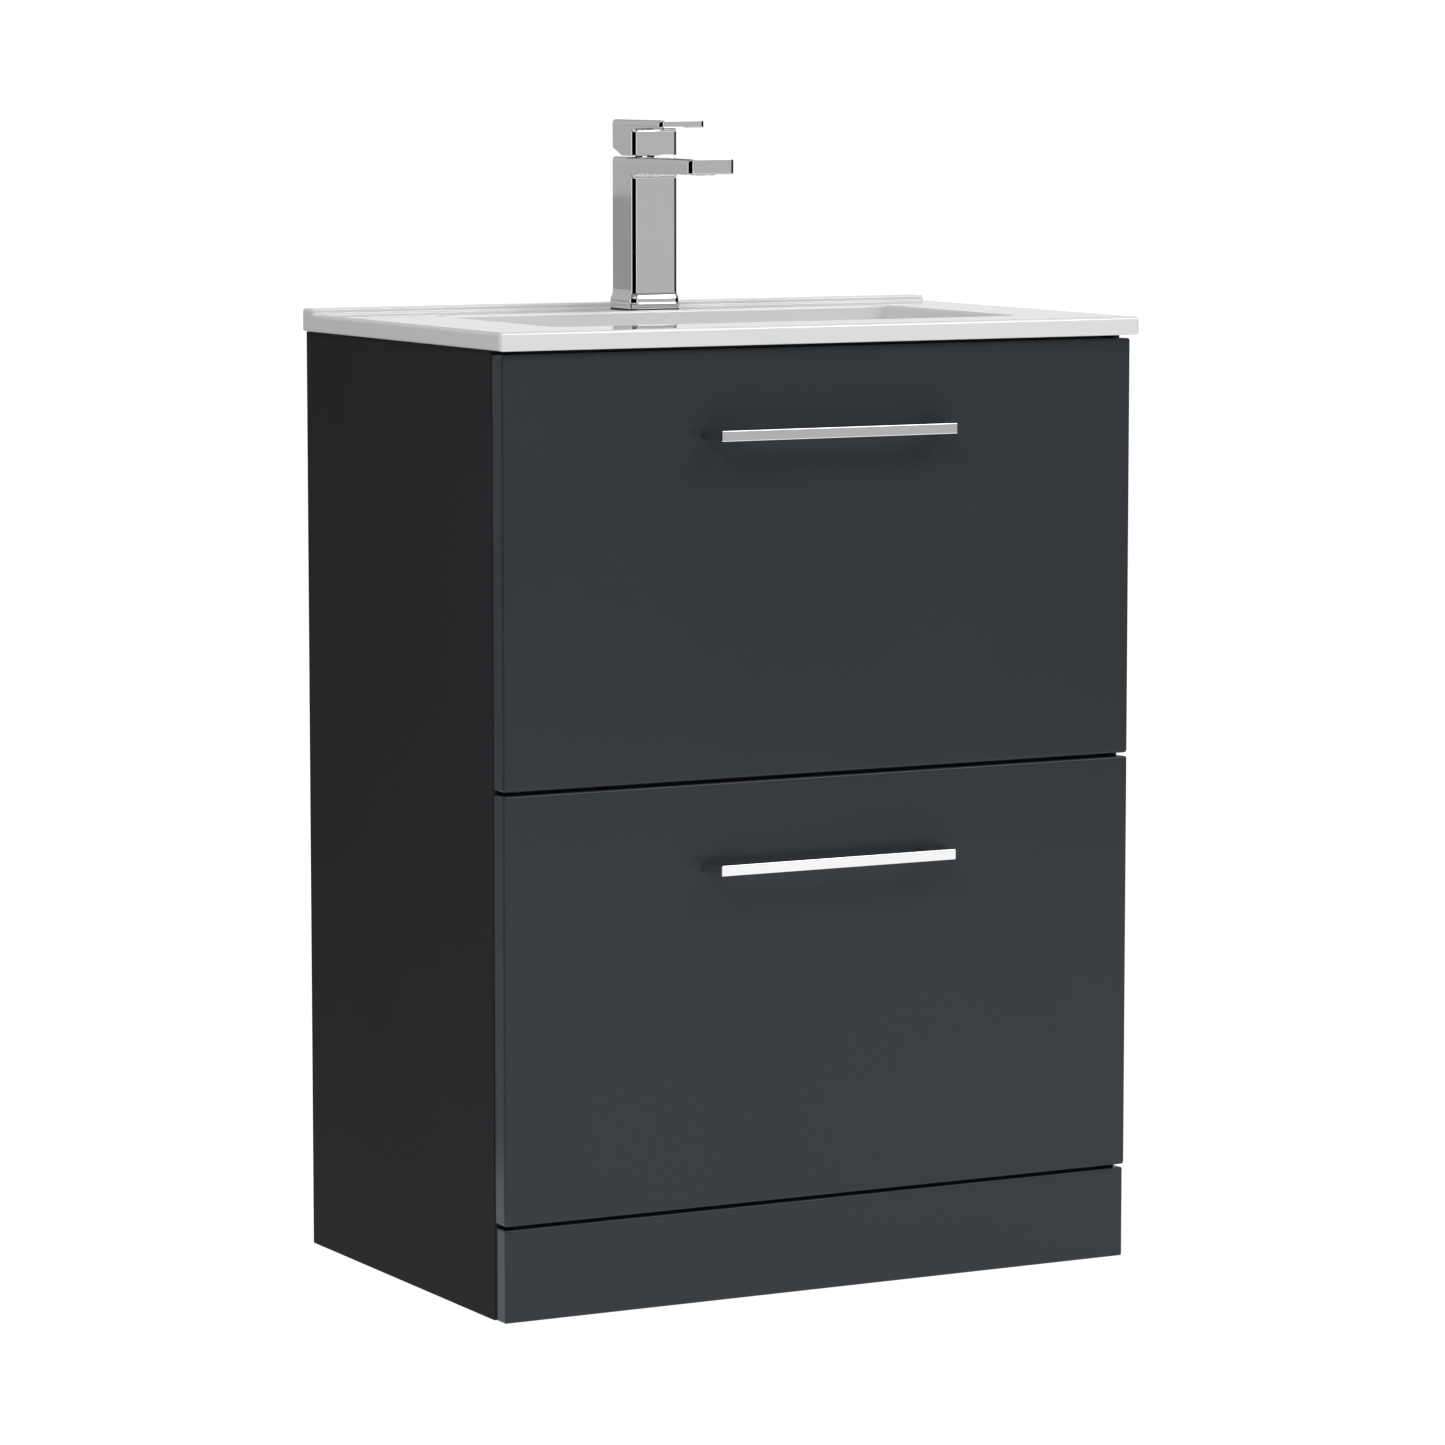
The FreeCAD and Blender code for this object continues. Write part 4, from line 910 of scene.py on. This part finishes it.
class VANITY_OT_tap(bpy.types.Operator):
    """Square mixer tap: body with flat spout, flared base, lever and aerator"""

    bl_idname = "vanity.tap"
    bl_label = "Tap"

    def execute(self, context):
        edge = context.scene.vanity_sizes.tap_edge
        low, high = node_box("tap_body")
        lever_low, lever_high = node_box("lever_handle")
        seal_top = node_box("tap_base_seal")[1][2]
        half, back = lever_high[0], lever_high[1]
        front = back - TAP_DEPTH
        self.body(edge, half, front, back, low[1], seal_top, high[2])
        self.lever(edge, half, front, lever_low, lever_high)
        self.aerator()
        return {"FINISHED"}

    def body(self, edge, half, front, back, tip, base, top):
        """The L-shaped side profile carried across the tap, and the flange at its foot."""
        rows = [(front, base + 1 * MM, 0.3 * MM), (back, base + 1 * MM, 0.3 * MM), (back, top, 1.2 * MM),
                (tip, top, 1.0 * MM), (tip, top - SPOUT_TIP, 1.2 * MM), (front, top - SPOUT_ROOT, 5.0 * MM)]
        column = profile_slab(rows, -half, half, edge, (0, 4))
        grow = FLANGE_GROW
        flange = capped(rounded_rectangles(half + grow, front - grow, back + grow, edge + grow,
                                           base + FLANGE_RISE))
        piece("tap_body_cast", joined(column, flange), "cabinet", "chrome", "tap_body", sharp=CAST_SHARP)

    def lever(self, edge, half, front, low, high):
        """Flat grip and square head in one profile, relieved under the rear."""
        top, back, tip, bottom = high[2], high[1], low[1], low[2]
        middle = (front + back) / 2
        rows = [(tip, top - LEVER_TIP, 1.0 * MM), (front, top - LEVER_ROOT, 3.0 * MM),
                (front, bottom, 0.8 * MM), (middle, bottom, 0.6 * MM),
                (back, bottom + LEVER_RELIEF, 0.8 * MM), (back, top, 1.2 * MM), (tip, top, 1.0 * MM)]
        piece("lever_cast", profile_slab(rows, -half, half, edge, (0, 2, 3)), "lever", "chrome",
              "lever_handle", sharp=CAST_SHARP)

    def aerator(self):
        """Ring and fine mesh plate in the spout's underside."""
        low, high = node_box("tap_aerator")
        radius = (high[0] - low[0]) / 2
        profile = soften([(0.3 * MM, low[2] + 0.9 * MM), (radius - 2 * MM, low[2] + 0.9 * MM),
                          (radius - 1.6 * MM, low[2]), (radius - 0.3 * MM, low[2]),
                          (radius, low[2] + 0.4 * MM), (radius, high[2] - 0.2 * MM)], 0.4 * MM)
        piece("aerator_turned", turned(profile, centre_line("tap_aerator", 2), 2, 64), "cabinet",
              "cartridge_plastic", "tap_aerator", sharp=TURNED_SHARP, finish="chrome")


# ---------------------------------------------------------------- trap
# rows of (radius, end, offset) for anchored(); the body's ends are its foot, the shoulder, the
# chamber's foot and its top, and the other pieces' ends are their lowest and highest places
TRAP_BODY = ((17, 0, 0), (17, 3, 0), (24, 3, 0), (24, 1, 4), (29, 1, -2), (29, 2, 0), (26, 2, 0),
             (26, 1, -6), (19, 1, -7), (19, 0, 0), (17, 0, 0))
TRAP_BRANCH = ((15, 0, 27), (18, 0, 27), (18, 0, 60), (15, 0, 60), (15, 0, 27))
TRAP_CUP = ((0.3, 0, 0), (24, 0, 0), (30.5, 0, 4), (31, 1, -15), (32, 1, -14), (32, 1, 0), (29.1, 1, 0),
            (29.1, 1, -10), (28, 1, -10), (28, 0, 6), (0.3, 0, 4))
INLET_NUT = ((24.1, 0, 0), (28, 0, 0), (29, 0, 1), (29, 1, -3), (26, 1, 0), (21.9, 1, 0), (21.9, 1, -17),
             (24.1, 1, -17), (24.1, 0, 0))
OUTLET_NUT = ((18.1, 0, 0), (22, 0, 0), (23, 0, 1), (23, 1, -4), (20, 1, 0), (16.1, 1, 0), (16.1, 0, 13),
              (18.1, 0, 13), (18.1, 0, 0))
OUTLET_PIPE = ((14.2, 0, 0), (15.6, 0, 0), (15.6, 0, 20), (16, 0, 20), (16, 1, 0), (14.2, 1, 0),
               (14.2, 0, 0))
CUP_RIBS = (24, 0.9 * MM, 31.4 * MM)
INLET_RIBS = (18, 1.8 * MM, 28.4 * MM)
OUTLET_RIBS = (16, 1.6 * MM, 22.4 * MM)


class VANITY_OT_trap(bpy.types.Operator):
    """Bottle trap, its ribbed nuts and the outlet pipe"""

    bl_idname = "vanity.trap"
    bl_label = "Trap"

    def execute(self, context):
        centre = centre_line("trap_cup", 2)
        self.body(centre)
        self.lathe("trap_cup", TRAP_CUP, 1.5 * MM, centre, 2, 144, False, CUP_RIBS)
        self.lathe("trap_inlet_nut", INLET_NUT, 0.7 * MM, centre, 2, 144, True, INLET_RIBS)
        centre = centre_line("trap_outlet_nut", 1)
        self.lathe("trap_outlet_nut", OUTLET_NUT, 0.7 * MM, centre, 1, 144, True, OUTLET_RIBS)
        self.lathe("outlet_pipe", OUTLET_PIPE, 0.4 * MM, centre, 1, 96, True)
        return {"FINISHED"}

    def add(self, node, shape):
        piece(node + "_moulded", shape, "cabinet", "trap_plastic", node, sharp=MOULDED_SHARP)

    def lathe(self, node, rows, rounding, centre, axis, steps, closed, ribs=None):
        """A softened profile between a node's two ends, turned about one axis."""
        low, high = node_box(node)
        profile = soften(anchored(rows, low[axis], high[axis]), rounding)
        self.add(node, turned(profile, centre, axis, steps, closed, ribs))

    def body(self, centre):
        """Neck, chamber and dip tube in one profile, with the branch as a second tube."""
        low, high = node_box("trap_body")
        chamber_foot = node_box("trap_cup")[1][2] - 10 * MM
        profile = soften(anchored(TRAP_BODY, low[2], high[2] - 28 * MM, chamber_foot, high[2]), 1.2 * MM)
        branch = soften(anchored(TRAP_BRANCH, 0), 0.6 * MM)
        level = centre_line("trap_outlet_nut", 1)[2]
        side = turned(branch, (0, centre[1], level), 1, 48, True)
        self.add("trap_body", joined(turned(profile, centre, 2, 72, True), side))


# ---------------------------------------------------------------- fixings left as packed
class VANITY_OT_fixings(bpy.types.Operator):
    """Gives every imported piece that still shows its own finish"""

    bl_idname = "vanity.fixings"
    bl_label = "Fixings"

    def execute(self, context):
        for subpart in frame["record"]["subparts"]:
            node = frame["nodes"][subpart["node"]]
            node.data.materials.clear()
            node.data.materials.append(FINISHES[subpart["material_slot"]])
        return {"FINISHED"}


# ---------------------------------------------------------------- stage
# name, corners as (right of the camera's line, towards the camera), glow, grey of the paper
STAGE_FLOORS = (
    ("floor", ((-0.25, 3.8), (3.4, 3.8), (3.4, -10.0), (-1.95, -10.0)), 0.9, 0.3),
    ("floor_left", ((-3.4, 3.8), (-0.25, 3.8), (-1.95, -10.0), (-3.4, -10.0)), 0.1, 0.5),
)
WALL_DISTANCE = 9.99
# name, half width, bottom, top, glow: bands of the far wall, dimmer towards the ceiling
STAGE_WALLS = (
    ("backdrop", 2.2, 0.0, 1.2, 1.06),
    ("wall_low", 3.4, 1.2, 1.4, 0.8),
    ("wall_middle", 3.4, 1.4, 1.7, 0.65),
    ("wall_high", 3.4, 1.7, 5.0, 0.5),
)
# name, azimuth from and to in degrees from -Y towards +X, radius, bottom, top, glow: the cards
# whose light and dark the polished metal shows
STAGE_CARDS = (
    ("dark_left", -106, -8, 6.3, 0, 2.6, 0.0),
    ("strip_left", -8, 5, 6.3, 0, 2.2, 1.0),
    ("grey_front", 5, 38, 6.3, 0, 2.2, 0.535),
    ("dark_right", 38, 92, 6.3, 0, 1.8, 0.0),
    ("white_right", 92, 136, 6.3, 0, 2.2, 1.0),
    ("grey_rear", 172, 232, 6.3, 0, 1.25, 0.48),
    ("strip_rear", 232, 254, 6.3, 0, 2.2, 0.95),
    ("grey_rear_low", 172, 232, 6.2, 0, 0.76, 0.34),
    ("rear_light", 172, 236, 6.35, 1.25, 5.0, 0.5),
)
CEILING_HEIGHT = 6.6              # above every camera, so a view from the top stays clear
CEILING_HALF = 5.3
CEILING_GLOW = 0.8
WORLD_GLOW = 0.25
ARC_PARTS = 12
# name, place, aim, width, watts, whether polished pieces mirror it
SOFTBOXES = (
    ("key_softbox_right", (1.7, -2.1, 3.1), (0, 0, 0.6), 1.5, 36, True),
    ("key_softbox_left", (-1.9, -2.1, 2.6), (0, 0, 0.7), 0.8, 28, False),
)


def facing(made, direction):
    """Turns a camera or light so that it looks along a direction."""
    made.rotation_mode = "QUATERNION"
    made.rotation_quaternion = direction.to_track_quat("-Z", "Y")


def softbox(name, place, aim, width, watts, mirrored):
    """A square light at place that faces aim."""
    light = bpy.data.lights.new(name, "AREA")
    light.size = width
    light.energy = watts
    made = placed(name, light)
    made.location = place
    made.visible_glossy = mirrored
    facing(made, Vector(aim) - Vector(place))


def card(name, points, faces, material):
    """A stage card: a surface that belongs to the studio and not to the vanity."""
    made = placed(name, mesh_of(name, points, faces, material))


def flat_card(name, corners, material):
    card(name, corners, [(0, 1, 2, 3)], material)


def arc_card(name, centre, start, end, radius, low, high, material):
    """An upright card bent round the cabinet: a circle's arc carried up from low to high."""
    angle = np.linspace(math.radians(start), math.radians(end), ARC_PARTS + 1)
    arc = np.stack([centre.x + radius * np.sin(angle), centre.y - radius * np.cos(angle),
                    np.full_like(angle, low)], axis=-1)
    step = np.arange(ARC_PARTS)
    above = step + ARC_PARTS + 1
    faces = np.stack([step, step + 1, above + 1, above], axis=-1)
    card(name, np.concatenate([arc, arc + (0, 0, high - low)]), faces.tolist(), material)


def glowing(name, strength, base=0.0):
    """A stage surface that gives off an even light."""
    finish = Finish(name, Roughness=0.9, Specular_IOR_Level=0.0, Base_Color=(base, base, base, 1),
                    Emission_Color=(1, 1, 1, 1), Emission_Strength=strength)
    return finish.material


class VANITY_OT_stage(bpy.types.Operator):
    """Pale floor, white backdrop, softboxes and the camera"""

    bl_idname = "vanity.stage"
    bl_label = "Stage"

    def execute(self, context):
        stage = context.scene.vanity_stage
        turn, rise = stage.azimuth, stage.elevation
        back = Vector((math.sin(turn) * math.cos(rise), -math.cos(turn) * math.cos(rise), math.sin(rise)))
        level_back = Vector((math.sin(turn), -math.cos(turn), 0))
        level_right = Vector((math.cos(turn), math.sin(turn), 0))
        aim = Vector(stage.aim)
        self.camera(context, aim, back)
        self.room(aim, level_back, level_right)
        for settings in SOFTBOXES:
            softbox(*settings)
        context.scene.view_settings.view_transform = "Standard"
        context.scene.view_settings.look = "None"
        return {"FINISHED"}

    def camera(self, context, aim, back):
        """The camera, back from the point it looks at."""
        stage = context.scene.vanity_stage
        data = bpy.data.cameras.new("camera")
        data.lens = stage.lens
        data.sensor_width = 36
        data.clip_end = 100
        camera = placed("camera", data)
        camera.location = aim + back * stage.distance
        facing(camera, -back)
        context.scene.camera = camera

    def room(self, aim, level_back, level_right):
        """A paper floor and backdrop that read as white, with grey, white and black cards around them."""
        ground = Vector((aim.x, aim.y, 0))
        for name, places, glow, grey in STAGE_FLOORS:
            corners = [ground + level_right * right + level_back * back for right, back in places]
            flat_card(name, corners, glowing("stage_" + name, glow, grey))
        far = ground - level_back * WALL_DISTANCE
        for name, reach, low, high, glow in STAGE_WALLS:
            across, base, top = level_right * reach, Vector((0, 0, low)), Vector((0, 0, high))
            corners = [far - across + base, far + across + base, far + across + top, far - across + top]
            flat_card(name, corners, glowing("stage_" + name, glow))
        for name, start, end, radius, low, high, glow in STAGE_CARDS:
            arc_card(name, ground, start, end, radius, low, high, glowing("stage_" + name, glow))
        corners = rectangle((-CEILING_HALF, -CEILING_HALF), (CEILING_HALF, CEILING_HALF))
        ceiling = [(x, y, CEILING_HEIGHT) for x, y in corners]
        flat_card("ceiling", ceiling, glowing("stage_ceiling", CEILING_GLOW))
        world = bpy.data.worlds.new("studio")
        world.use_nodes = True
        background = world.node_tree.nodes["Background"]
        background.inputs["Color"].default_value = (1, 1, 1, 1)
        background.inputs["Strength"].default_value = WORLD_GLOW
        bpy.context.scene.world = world


# ---------------------------------------------------------------- add-on
class VANITY_PT_panel(bpy.types.Panel):
    """Lists the vanity's pieces and settings"""

    bl_idname = "VANITY_PT_panel"
    bl_label = "Vanity"
    bl_space_type = "VIEW_3D"
    bl_region_type = "UI"
    bl_category = "Vanity"

    def draw(self, context):
        for operator in PIECE_OPERATORS:
            self.layout.operator(operator.bl_idname)
        for group in (context.scene.vanity_colours, context.scene.vanity_sizes, context.scene.vanity_stage):
            box = self.layout.box()
            for name in group.__annotations__:
                box.prop(group, name)


PIECE_OPERATORS = (VANITY_OT_stage, VANITY_OT_carcass, VANITY_OT_drawers, VANITY_OT_handles,
                   VANITY_OT_runners, VANITY_OT_basin, VANITY_OT_tap, VANITY_OT_trap, VANITY_OT_fixings)
GROUPS = {"vanity_colours": VanityColours, "vanity_sizes": VanitySizes, "vanity_stage": VanityStage}


def register():
    for group in GROUPS.values():
        bpy.utils.register_class(group)
    for operator in PIECE_OPERATORS:
        bpy.utils.register_class(operator)
    bpy.utils.register_class(VANITY_PT_panel)
    for name, group in GROUPS.items():
        setattr(bpy.types.Scene, name, PointerProperty(type=group))


def unregister():
    for name in GROUPS:
        delattr(bpy.types.Scene, name)
    for item in (VANITY_PT_panel, *reversed(PIECE_OPERATORS), *GROUPS.values()):
        bpy.utils.unregister_class(item)


def main():
    register()
    FINISHES.update(make_finishes(bpy.context.scene.vanity_colours))
    bpy.ops.vanity.stage()
    bpy.ops.vanity.carcass()
    bpy.ops.vanity.drawers()
    bpy.ops.vanity.handles()
    bpy.ops.vanity.runners()
    bpy.ops.vanity.basin()
    bpy.ops.vanity.tap()
    bpy.ops.vanity.trap()
    bpy.ops.vanity.fixings()


if __name__ == "__main__":
    main()
